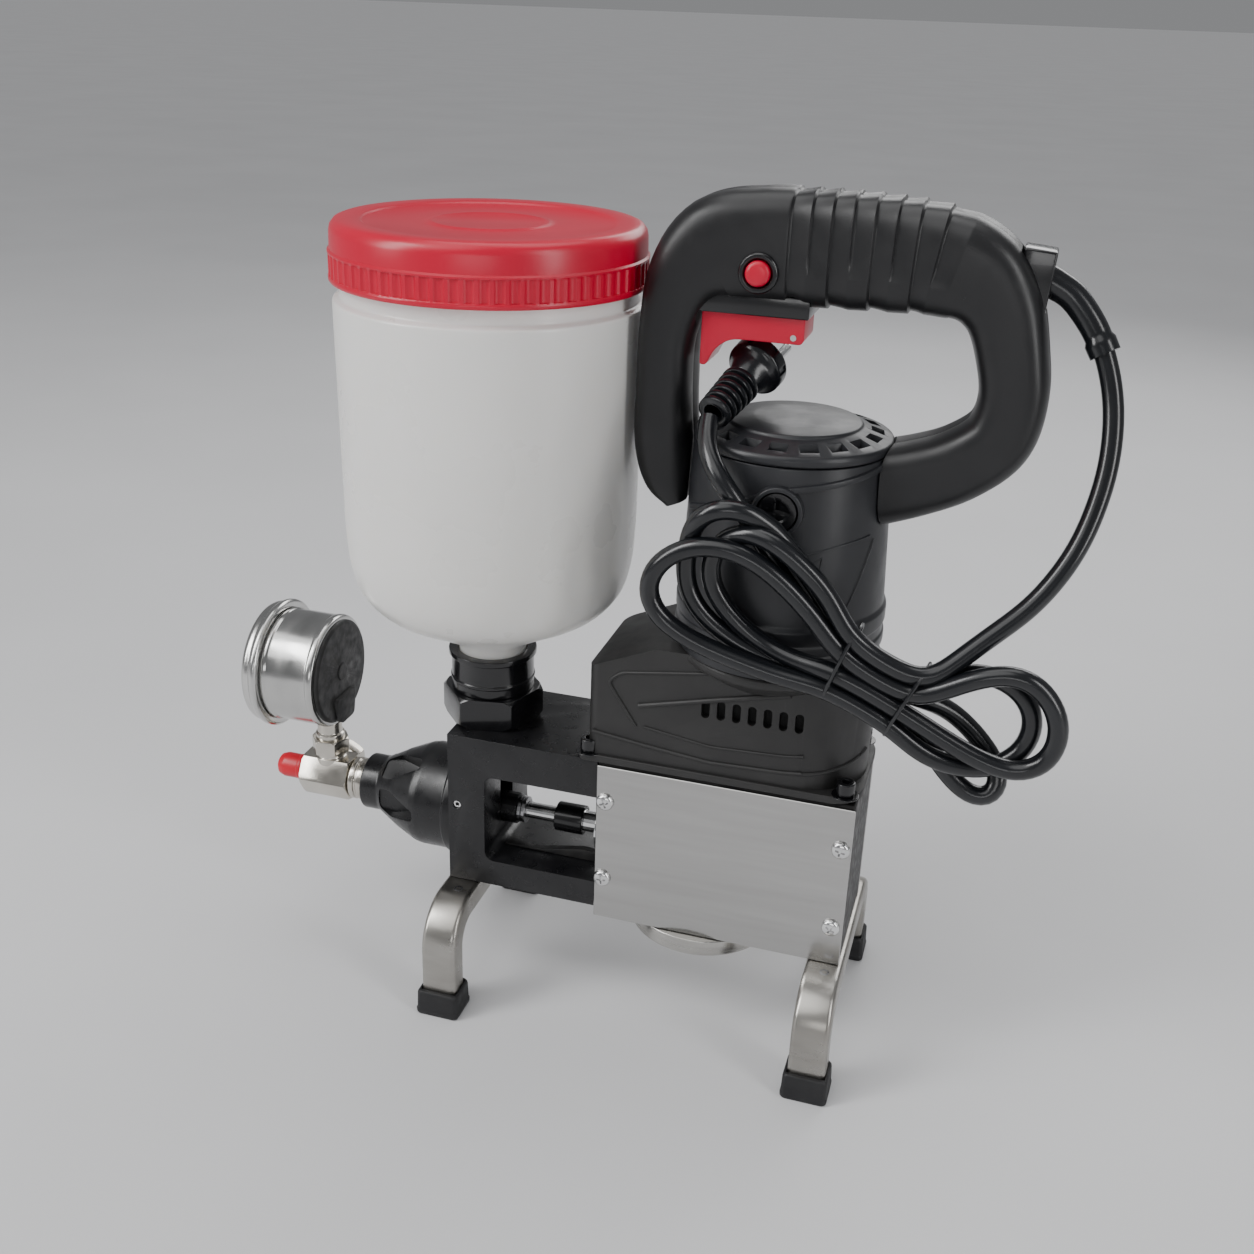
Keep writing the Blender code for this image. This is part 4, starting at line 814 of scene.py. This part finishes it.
def make_motor():
    profile = [
        (41, 205), (46.4, 205), (46.6, 210.5), (47.5, 211.5), (47.5, 216), (46.7, 217), (46.7, 221),
        (47.5, 222), (47.5, 228.5), (46.2, 230.5), (43.05, 299.8), (38.5, 299.8), (38.5, 290), (41, 286),
    ]
    bm = new_lathe(fillet(profile, 0.7, 3, True), axis_frame("z", (MOTOR_X, 0, 0)), 128, closed=True)
    bosses, pockets = [], []
    for side in (0, math.pi):
        place = brush_frame(side)
        boss = new_lathe(fillet([(0, 40.5), (11.4, 40.5), (10.6, 46.4), (0, 46.4)], [0, 0, 0.8, 0]), place, 56
        )
        pocket = new_lathe([(0, 43.2), (8.9, 43.2), (8.9, 50), (0, 50)], place, 48)
        bore = new_lathe([(0, 35), (4.8, 35), (4.8, 50), (0, 50)], place, 32)
        bosses.append(boss)
        pockets += [pocket, bore]
    motor = shape("motor_skin", bm, join=bosses, cut=pockets, angle=30)
    place_piece(motor, "motor_plastic", stands_for=("motor_housing",))
    for end, side in (("front", 0), ("rear", math.pi)):
        place = brush_frame(side)
        profile = [(0, 43.5), (8.6, 43.5), (8.6, 45), (7.9, 45.8), (4.6, 45.8), (4.2, 45), (0, 45)]
        cap = new_lathe(fillet(profile, 0.3, 2), place, 48)
        slot_a = new_box((-5.2, -0.9, 44.2), (5.2, 0.9, 47), place)
        slot_b = new_box((-0.9, -5.2, 44.2), (0.9, 5.2, 47), place)
        brush = shape(f"{end}_brush_cap_skin", cap, cut=[slot_a, slot_b], bevel=0.15, segments=2)
        place_piece(brush, "gloss_black", stands_for=(f"{end}_brush_cap",))
    band = [(-150, 272), (-125, 278), (-104, 284.5), (-86, 290), (-60, 293), (-35, 295.6), (-12, 298)]
    motor_strip("motor_band", band, 3.2, 1.5)
    motor_strip("motor_band_rear", [(35, 296.5), (70, 294), (110, 289), (150, 281)], 2.6, 1.2)
    motor_strip("motor_band_lower", [(-74, 262.5), (-52, 266.5), (-28, 268.5)], 1.4, 0.7)
    motor_strip("motor_line_right", [(-24, 266.5), (-36, 248), (-47, 232.5)], 1.4, 0.8)
    chevron = [(-72, 256), (-60, 262), (-62, 249), (-68, 240)]
    for k, ends in enumerate(zip(chevron, chevron[1:])):
        motor_strip(f"motor_chevron_{k}", ends, 1.1, 0.5)
    for k in range(5):
        motor_strip(f"motor_rear_rib_{k}", [(60 + 14 * k, 240), (60 + 14 * k, 262)], 3, 0.9)


CAP_BORE, CAP_LOW = 7, 292.5


def make_top_cap():
    profile = [
        (CAP_BORE, CAP_LOW), (10, CAP_LOW), (10, 300.3), (43, 300.3), (43.4, 301.4), (43.4, 303.2),
        (42.6, 304.6), (29.6, 308.6), (28.8, 309.9), (18, 310.8), (0, 311.2),
    ]
    bm = new_lathe(fillet(profile, 0.6, 3), axis_frame("z", (MOTOR_X, 0, 0)), 112)
    slots = []
    for k in range(18):
        turn = Matrix.Rotation(math.tau * (k + 0.5) / 18, 4, "Z")
        cutter = new_box((33, -3.9, 303.6), (38.6, 3.9, 315), Matrix.Translation((MOTOR_X, 0, 0)) @ turn)
        slots.append(cutter)
    rim = [v for v in bm.verts if abs((v.co - Vector((MOTOR_X, 0, CAP_LOW))).length - CAP_BORE) < 1e-3]
    bm.faces.new(sorted(rim, key=lambda v: math.atan2(v.co.y, v.co.x - MOTOR_X)))
    cap = shape("motor_cap_skin", bm, cut=slots, bevel=0.25, segments=2, angle=30)
    place_piece(cap, "motor_plastic", stands_for=("motor_top_cap",))


# ---------------------------------------------------------------- gear case

LINE_Y = CASE_Y + 0.05                             # raised lines sit this far out
SLOT_FIRST, SLOT_PITCH, SLOTS = 54.6, 7.2, 7


def case_line(name, points, radius, side):
    """Raised line on the case's front or rear face through (x, z) points."""
    bm = bmesh.new()
    path = [(x, side * LINE_Y, z) for x, z in fillet(points, 3, 4)]
    add_tube(bm, path, radius, 10)
    place_piece(shape(name, bm), "charcoal_plastic")


def make_gear_case():
    right = CASE_Y - 0.5
    outline = rounded_rectangle((-2, -CASE_Y), (127, CASE_Y), (right, 6, 6, right), 10)
    bm = new_prism(outline, CASE_FLANGE - 2, CASE_TOP)
    shoulder = [(0, 186), (28, 188), (40, 196.5), (46, 200.5), (46.4, CASE_TOP), (0, CASE_TOP)]
    collar = new_lathe(fillet(shoulder, 2, 3), axis_frame("z", (MOTOR_X, 0, 0)), 96)
    slope = new_prism([(-12, 186.5), (31, CASE_TOP + 0.3), (31, 220), (-12, 220)], -50, 50, UPRIGHT
    )
    slots = []
    for k in range(SLOTS):
        x = SLOT_FIRST + SLOT_PITCH * k
        cutter = new_prism(rounded_rectangle((x - 1.95, 174.2), (x + 1.95, 183.8), 1.85, 5), CASE_Y - 4.5,
            CASE_Y + 3, UPRIGHT
        )
        slots.append(cutter)
    case = shape("gear_case_skin", bm, join=[collar], cut=[slope, *slots], bevel=0.9, segments=3)
    place_piece(case, "charcoal_plastic", stands_for=("gear_case",))
    # near-black sheets at the bottoms of the vent slots: painted shade for the dark inside of the vents
    bm = bmesh.new()
    for k in range(SLOTS):
        x = SLOT_FIRST + SLOT_PITCH * k
        add_box(bm, (x - 1.9, -CASE_Y + 3.9, 174.3), (x + 1.9, -CASE_Y + 4.45, 183.7))
    place_piece(shape("slot_painted_shade", bm), "painted_slot_shade_black", slot="charcoal_plastic")
    outline = rounded_rectangle((-6, -32.4), (128.5, 32.4), (14, 4, 4, 14), 8)
    bm = new_prism(outline, 142.1, 145.9)
    flange = shape("gear_case_flange", bm, bevel=0.5)
    place_piece(flange, "charcoal_plastic")
    for side, end in ((-1, "front"), (1, "rear")):
        case_line(
            f"case_lip_low_{end}",
            [(1, 158), (26, 155), (58, 151.8), (92, 153.2), (101, 154.2)], 1, side
        )
        case_line(f"case_lip_high_{end}", [(26, 164.5), (58, 160), (92, 161.6), (101, 163)], 0.7, side)
        case_line(f"case_panel_{end}", [(62, 197.8), (14, 190.5), (8, 185), (22, 164)], 0.8, side)
        case_line(f"case_rib_{end}", [(23, 175), (60, 184.5), (93, 192.5)], 1.3, side)
        wrap = []
        for i in range(15):
            a = math.radians(-90 + 75 * i / 14)
            rise = 7 * (i / 14) ** 1.6
            wrap.append((96 + LINE_Y * math.cos(a), side * -LINE_Y * math.sin(a), 153.6 + rise))
        bm = new_tube(wrap, 1, 10)
        place_piece(shape(f"case_lip_turn_{end}", bm), "charcoal_plastic")


def make_case_bolts():
    for k, (x, y) in enumerate(((-1.2, -28.2), (-1.2, 28.2), (121, -28), (121, 28))):
        place = Matrix.Translation((x, y, 0))
        head = [(0, 146.2), (4.3, 146.2), (4.3, 152.4), (3.2, 152.6), (0, 152.6)]
        boss = new_lathe(fillet(head, 0.6), place, 36)
        socket = new_prism(hexagon(4.6), 150.2, 156, place)
        place_piece(shape(f"case_bolt_{k}", boss, cut=[socket], bevel=0.15, segments=2), "gloss_black")
        bm = new_lathe(fillet([(0, 145.2), (6.3, 145.2), (6.3, 146), (0, 146)], 0.3), place, 40)
        place_piece(shape(f"case_washer_{k}", bm), "gloss_black")


# ---------------------------------------------------------------- block, housing, plates and screws

def make_block():
    bm = new_box((-73.7, -30.5, 59.5), (3.7, 30.5, 141.8))
    window = new_prism(rounded_rectangle((-54.5, 73.5), (18, 121.5), (0.5, 5, 5, 0.5), 8), -40, 40, UPRIGHT
    )
    grub = new_lathe([(0, -32), (2.3, -32), (2.3, -27), (0, -27)], axis_frame("y", (-69.3, 0, 102.5)), 32
    )
    chamber = new_lathe([(0, -80), (8.3, -80), (8.3, -50), (0, -50)], axis_frame("x", (0, 0, PUMP_Z)), 48)
    inlet = new_lathe([(0, 92), (11, 92), (11, 150), (0, 150)], axis_frame("z", (HOPPER_X, 0, 0)), 48)
    block = shape("pump_block_skin", bm, cut=[window, grub, chamber, inlet], bevel=1)
    place_piece(block, "black_paint", stands_for=("pump_block",))
    turned(
        "grub_screw", [(1, -29.6), (2.1, -29.6), (2.1, -27.2), (1, -27.2)], "zinc", "y",
        (-69.3, 0, 102.5), 32, closed=True, radius=0.2
    )
    turned(
        "coupling_sleeve", [(5.6, -26.2), (7.6, -26.2), (7.6, -11.4), (5.6, -11.4)], "gloss_black", "x",
        (0, 0, PUMP_Z), 48, closed=True, body="plunger", slot="black_paint"
    )
    bm = bmesh.new()
    arm = [(-50, 75), (-30, 75), (-8, 79.5), (3, 78.5), (3, 73.9), (-50, 73.9)]
    add_prism(bm, fillet(arm, 1.5, 3, True), 10, 14, UPRIGHT)
    place_piece(shape("window_guide", bm, bevel=0.5), "cast_black", slot="black_paint")


def screw_mesh():
    """Pan head with a cross recess, its seat at Z = 0."""
    bm = bmesh.new()
    head = [(0, 0), (4.35, 0), (4.35, 0.9), (3.7, 1.9), (2.2, 2.5), (0, 2.7)]
    add_lathe(bm, fillet(head, 0.6, 3), Matrix.Identity(4), 40)
    arms = []
    for turn in (math.radians(20), math.radians(110)):
        cutter = new_box((-2.3, -0.5, 1.2), (2.3, 0.5, 4), Matrix.Rotation(turn, 4, "Z"))
        arms.append(cutter)
    return shape("screw_pattern", bm, cut=arms)


def make_screws():
    pattern = screw_mesh()
    places = []
    for x, z in ((8.6, 121.4), (8.2, 78.3), (122.2, 119), (121.4, 76)):
        for side in (-1, 1):
            places.append(direction_frame((0, side, 0), (x, side * 32.2, z)))
    for k, place in enumerate(places):
        spin = Matrix.Rotation(math.radians(37 * k), 4, "Z")
        mesh = pattern.data.copy()
        mesh.transform(Matrix.Translation(place.to_translation() * MM) @ place.to_3x3().to_4x4() @ spin)
        screw = bpy.data.objects.new(f"plate_screw_{k}", mesh)
        bpy.context.scene.collection.objects.link(screw)
        place_piece(screw, "zinc")
    bpy.data.objects.remove(pattern, do_unlink=True)


def make_bearing_cover():
    profile = [
        (0, 45), (31.5, 45), (32.2, 46), (35.2, 46), (36.4, 47), (36.4, 54.9), (20.3, 54.9), (20.3, 49.6),
        (0, 49.6),
    ]
    turned(
        "bearing_cover_skin", profile, "turned_stainless", centre=(CRANK_X, 0, 0), segments=128, radius=0.5,
        slot="stainless", stands_for=("bearing_cover",)
    )


# ---------------------------------------------------------------- legs and feet

def make_legs():
    radius = LEG_BEND - LEG_DEPTH / 2
    for leg, (x, top) in LEGS.items():
        cy, cz = -LEG_Y + radius, top - LEG_BEND
        half = [(-LEG_Y, 3.2, 0), (-LEG_Y, cz - 2, 0)]
        for i in range(17):
            a = math.pi / 2 * i / 16
            half.append((cy - radius * math.cos(a), cz + radius * math.sin(a), a))
        line = half + [(-y, z, math.pi - a) for y, z, a in reversed(half)]
        sections = []
        for y, z, a in line:
            out = Vector((0, -math.cos(a), math.sin(a)))
            outline = rounded_rectangle(
                (-LEG_WIDTH / 2, -LEG_DEPTH / 2), (LEG_WIDTH / 2, LEG_DEPTH / 2), 2.6, 5
            )
            sections.append([Vector((x + u, y, z)) + out * v for u, v in outline])
        bm = new_loft(sections)
        place_piece(
            shape(f"{leg}_leg_skin", bm, angle=30), "brushed_stainless", stands_for=(f"{leg}_leg_arch",)
        )
        for side, end in ((-1, "front"), (1, "rear")):
            make_foot(f"{leg}_{end}", x, side)
            dome = [(0, top - 0.5), (2.4, top - 0.5), (2.4, top + 0.05), (0, top - 0.05)]
            dimple = new_lathe(fillet(dome, 0.2, 2), Matrix.Translation((x + 1, side * 39, 0)), 28)
            place_piece(shape(f"{leg}_{end}_rivet", dimple), "steel")


def make_foot(name, x, side):
    y = side * (LEG_Y + 0.3)
    heights = [(0, 0.955), (0.8, 0.99), (2.6, 1), (3.4, 0.965), (11.6, 0.945), (12.6, 0.93), (13.5, 0.88)]
    sections = []
    for z, scale in heights:
        sole = rounded_rectangle((-11.3 * scale, -9.5 * scale), (11.3 * scale, 9.5 * scale), 2.4, 5)
        sections.append([(x + u, y + v, z) for u, v in sole])
    bm = new_loft(sections)
    pocket = new_box((x - 9.2, side * LEG_Y - 6.7, 2.8), (x + 9.2, side * LEG_Y + 6.7, 20))
    foot = shape(f"{name}_foot_skin", bm, cut=[pocket], bevel=0.35, segments=2, angle=40)
    place_piece(foot, "rubber", stands_for=(f"{name}_foot",))


# ---------------------------------------------------------------- hopper, lid and fitting

def make_hopper():
    outer = [
        (16.5, 162), (16.5, 183), (43, 197.8), (56.5, 204.8), (64.2, 214.5), (67.4, 227.5), (68.5, 243),
        (69.4, 346), (69.3, 349.3), (66.2, 350.5), (66.2, 375.5),
    ]
    inner = [
        (63.6, 375.5), (63.6, 350), (66.7, 344), (65.8, 243), (64.6, 228), (61.4, 216), (54.6, 207.4),
        (42, 200.8), (13.9, 184.8), (13.9, 162),
    ]
    profile = outer + inner
    radii = [0.5, 3, 8, 9, 9, 9, 8, 1.2, 1, 1, 0.5] + [0.5, 1.5, 3, 8, 8, 8, 8, 8, 3, 0.5]
    bm = new_lathe(fillet(profile, radii, 6, True), axis_frame("z", (HOPPER_X, 0, 0)), 144, closed=True)
    place_piece(shape("hopper_skin", bm, angle=50), "hdpe", stands_for=("hopper",))


LID_RIBS = 72


def lid_wave(angle, radius, height):
    """Upright grip ribs round the lower band."""
    if radius < 70.2 or not 360 < height < 369.4:
        return radius
    phase = (angle * LID_RIBS / math.tau) % 1
    rise = max(0, 1 - abs(phase - 0.5) / 0.30)
    return radius - 0.9 + 0.9 * min(1, rise * 1.8)


def make_lid():
    profile = [
        (66.5, 357.5), (70.2, 357.5), (70.6, 358.1), (70.6, 359.4), (70.3, 359.9), (70.3, 360.1),
        (70.3, 362), (70.3, 365), (70.3, 368.8), (70.3, 369.3), (70.55, 369.6), (70.55, 370.4),
        (69.7, 371.2), (69.5, 378.5), (69, 380.8), (67.4, 382.8), (65.5, 383.5), (57, 383.5),
        (55.6, 382.9), (54.6, 382.1), (30, 382), (27, 382.2), (26.2, 382.7), (24.4, 382.7), (23.6, 382.2),
        (0, 382.2),
    ]
    under = [(0, 378.7), (66.5, 378.7)]
    bm = bmesh.new()
    place = axis_frame("z", (HOPPER_X, 0, 0))
    add_lathe(bm, profile + under, place, LID_RIBS * 8, wave=lid_wave)
    rims = [e for e in bm.edges if e.is_boundary]
    bmesh.ops.bridge_loops(bm, edges=rims)
    place_piece(shape("lid_skin", bm, angle=40), "red_plastic", "lid", stands_for=("lid",))


def make_fitting():
    centre = (HOPPER_X, 0, 0)
    bm = new_prism(hexagon(50.5, math.radians(12)), 142.1, 158, Matrix.Translation(centre))
    rim = new_lathe([(0, 141), (22.2, 141), (25.5, 144.6), (25.5, 155.6), (22.2, 159.2), (0, 159.2)],
        axis_frame("z", centre), 96
    )
    nut = shape("fitting_hexagon", bm, keep=[rim], bevel=0.5)
    place_piece(nut, "gloss_black", stands_for=("hopper_fitting",))
    profile = [
        (12, 158.2), (20.4, 158.2), (20.4, 163), (20.9, 163.4), (20.9, 164.6), (20.4, 165), (20.4, 175.4),
        (21.7, 176), (21.7, 178.6), (16.9, 178.6), (16.9, 161.7), (12, 161.7)
    ]
    turned("fitting_collar", profile, "gloss_black", centre=centre, segments=96, closed=True, radius=0.4)


# ---------------------------------------------------------------- outlet, tee and gauge

def make_outlet():
    axis = (0, 0, PUMP_Z)
    profile = [
        (5, -132), (13.8, -132), (14.6, -131.2), (14.6, -122), (16.2, -119.5), (21.5, -110), (26.6, -98.5),
        (27.2, -95), (27.2, -80), (28.3, -79.5), (28.3, -74), (5, -74),
    ]
    bm = new_lathe(fillet(profile, 0.9, 3, True), axis_frame("x", axis), 96, closed=True)
    pockets = []
    for k in range(6):
        turn = Matrix.Translation(axis) @ Matrix.Rotation(math.tau * (k + 0.5) / 6, 4, "X")
        cutter = bmesh.new()
        wedge = [(-119.5, -5.6), (-112, -7.6), (-96, -3), (-96, 3), (-112, 7.6), (-119.5, 5.6)]
        add_prism(cutter, fillet(wedge, 2, 4, True), 14.8, 34, turn)
        pockets.append(cutter)
    cone = shape("outlet_cone_skin", bm, cut=pockets, bevel=0.7)
    place_piece(cone, "black_paint", stands_for=("outlet_cone",))
    collar = [
        (5, -141.1), (10.2, -141.1), (11.2, -140), (11.2, -137.6), (10.5, -137.2), (10.5, -136.2),
        (11.2, -135.8), (11.2, -132.4), (5, -132.4)
    ]
    turned(
        "outlet_collar_skin", collar, "nickel", "x", axis, 72, closed=True, radius=0.3,
        stands_for=("outlet_collar",)
    )


NUT_CHAMFER = 1.6


def hex_nut(name, across, low, high, place, **how):
    """Hexagon with its corners turned off at both ends."""
    bm = new_prism(hexagon(across), low, high, place)
    r = across / 2 + 0.05
    flat, drop = r - NUT_CHAMFER - 0.6, NUT_CHAMFER * 0.6
    limit = [
        (0, low - 1), (flat, low - 1), (r, low + drop), (r, high - drop), (flat, high + 1), (0, high + 1)
    ]
    rim = new_lathe(limit, place, 72)
    place_piece(shape(name, bm, keep=[rim], bevel=0.3, segments=2), "nickel", **how)


def make_tee():
    along = axis_frame("x", (0, 0, PUMP_Z))
    hex_nut("tee_hexagon", 25.4, -168.4, -141.4, along, stands_for=("tee_body",))
    stub = [
        (0, PUMP_Z + 8), (8.2, PUMP_Z + 8), (8.2, PUMP_Z + 11.5), (7.4, PUMP_Z + 12), (7.4, PUMP_Z + 13.8),
        (0, PUMP_Z + 13.8)
    ]
    turned("tee_stub_up", stub, "nickel", centre=(STEM_X, 0, 0), segments=56, radius=0.3)
    turned(
        "tee_stub_back", [(0, 8), (8, 8), (8, 14), (7.4, 15), (0, 15)], "nickel", "y",
        (STEM_X, 0, PUMP_Z), 56, radius=0.3
    )
    hex_nut("tee_rear_plug", 19, 15.2, 21.5, axis_frame("y", (STEM_X, 0, PUMP_Z)))
    hex_nut(
        "adapter_hexagon", 20.5, 102.1, 110.5,
        Matrix.Translation((STEM_X, 0, 0)) @ Matrix.Rotation(math.radians(8), 4, "Z"),
        stands_for=("gauge_adapter",)
    )
    stem = [(0, 110.4), (7.6, 110.4), (7.6, 113.2), (6.4, 114), (6.4, 119.8), (0, 119.8)]
    turned("gauge_stem", stem, "nickel", centre=(STEM_X, 0, 0), segments=56, radius=0.3)
    cap = [
        (0, -186), (3.4, -185.7), (5.6, -184.2), (6.6, -181.2), (6.6, -173.2), (7, -172.8), (7, -171),
        (6.6, -170.6), (4.9, -170.6), (4.9, -177), (0, -177)
    ]
    turned(
        "red_cap_skin", cap, "red_rubber", "x", (0, 0, PUMP_Z), 64, radius=0.4, body="cap",
        stands_for=("red_cap",)
    )


def make_gauge():
    centre = (0, 0, GAUGE_Z)
    drum = [
        (0, -147.5), (27.6, -147.5), (29, -147.9), (29.6, -149.2), (29.6, -151), (29, -151.8),
        (29, -173.6), (29.5, -174.4), (29.5, -176.2), (27.9, -176.2), (27.9, -149.5), (0, -149.5),
    ]
    turned(
        "gauge_drum", drum, "gauge_stainless", "x", centre, 128, radius=0.5, slot="stainless",
        stands_for=("gauge_case",)
    )
    bm = new_lathe(fillet([(0, -147.6), (27.2, -147.6), (27.2, -146.6), (25.6, -145.6), (0, -145.6)], 0.5),
        axis_frame("x", centre), 96
    )
    outline = [(-7, GAUGE_Z - 26.8), (7, GAUGE_Z - 26.8), (10.5, GAUGE_Z - 12.5), (-10.5, GAUGE_Z - 12.5)]
    upright_x = Matrix(((0, 0, 1, 0), (1, 0, 0, 0), (0, 1, 0, 0), (0, 0, 0, 1)))
    boss = new_prism(fillet(outline, 2.5, 4, True), -146.5, -143.4, upright_x)
    disc = new_lathe(fillet([(0, -146.5), (4.6, -146.5), (4.6, -144.9), (0, -144.9)], 0.4),
        axis_frame("x", centre), 48
    )
    back = shape("gauge_back_plate", bm, join=[boss, disc], bevel=0.4, segments=2)
    place_piece(back, "cast_black", slot="gloss_black")
    bezel = [
        (27, -176.9), (32.2, -176.9), (33.4, -177.9), (33.5, -179.4), (32.9, -180.8), (31.9, -181.6),
        (31.9, -183.8), (31.2, -185.6), (30.2, -186.3), (28.8, -186.3), (28.6, -182.4), (27, -182.4),
    ]
    turned(
        "gauge_bezel_skin", bezel, "gauge_stainless", "x", centre, 128, closed=True, radius=0.5,
        slot="stainless", stands_for=("gauge_bezel",)
    )
    lens = [(0, -185.4), (20, -185.1), (28.3, -184.2), (28.3, -182.7), (20, -183.4), (0, -183.8)]
    turned("gauge_glass", lens, "clear_lens", "x", centre, 96, radius=0.3, stands_for=("gauge_lens",))
    bm = bmesh.new()
    for k in range(51):
        angle = math.radians(225 - 270 * k / 50)
        long = 4.2 if k % 5 == 0 else 2.2
        wide = 0.35 if k % 5 == 0 else 0.18
        # seen from the front, right is -Y
        turn = Matrix.Translation(centre) @ Matrix.Rotation(-angle + math.pi, 4, "X")
        add_box(bm, (-176.95, 23.6 - long, -wide), (-176.65, 23.6, wide), turn)
    place_piece(shape("dial_marks", bm), "gloss_black")


# ---------------------------------------------------------------- carried over nodes

def finish_nodes():
    """Give each carried-over node the look of its record slot."""
    slots = {entry["node"]: entry["material_slot"] for entry in frame["record"]["subparts"]}
    special = {"crank_housing": "cast_black"}
    for name, obj in frame["nodes"].items():
        look = LOOKS[special.get(name, slots[name])]
        if not obj.data.materials:
            obj.data.materials.append(look)
        for k in range(len(obj.material_slots)):
            obj.material_slots[k].material = look


add_camera()
add_stage()
finish_nodes()
ties = make_ties()
plug_pieces = make_plug()
sleeve = make_strain_relief()
make_cord()
make_handle()
make_controls()
make_motor()
make_top_cap()
make_gear_case()
make_case_bolts()
make_block()
make_screws()
make_bearing_cover()
make_legs()
make_hopper()
make_lid()
make_fitting()
make_outlet()
make_tee()
make_gauge()
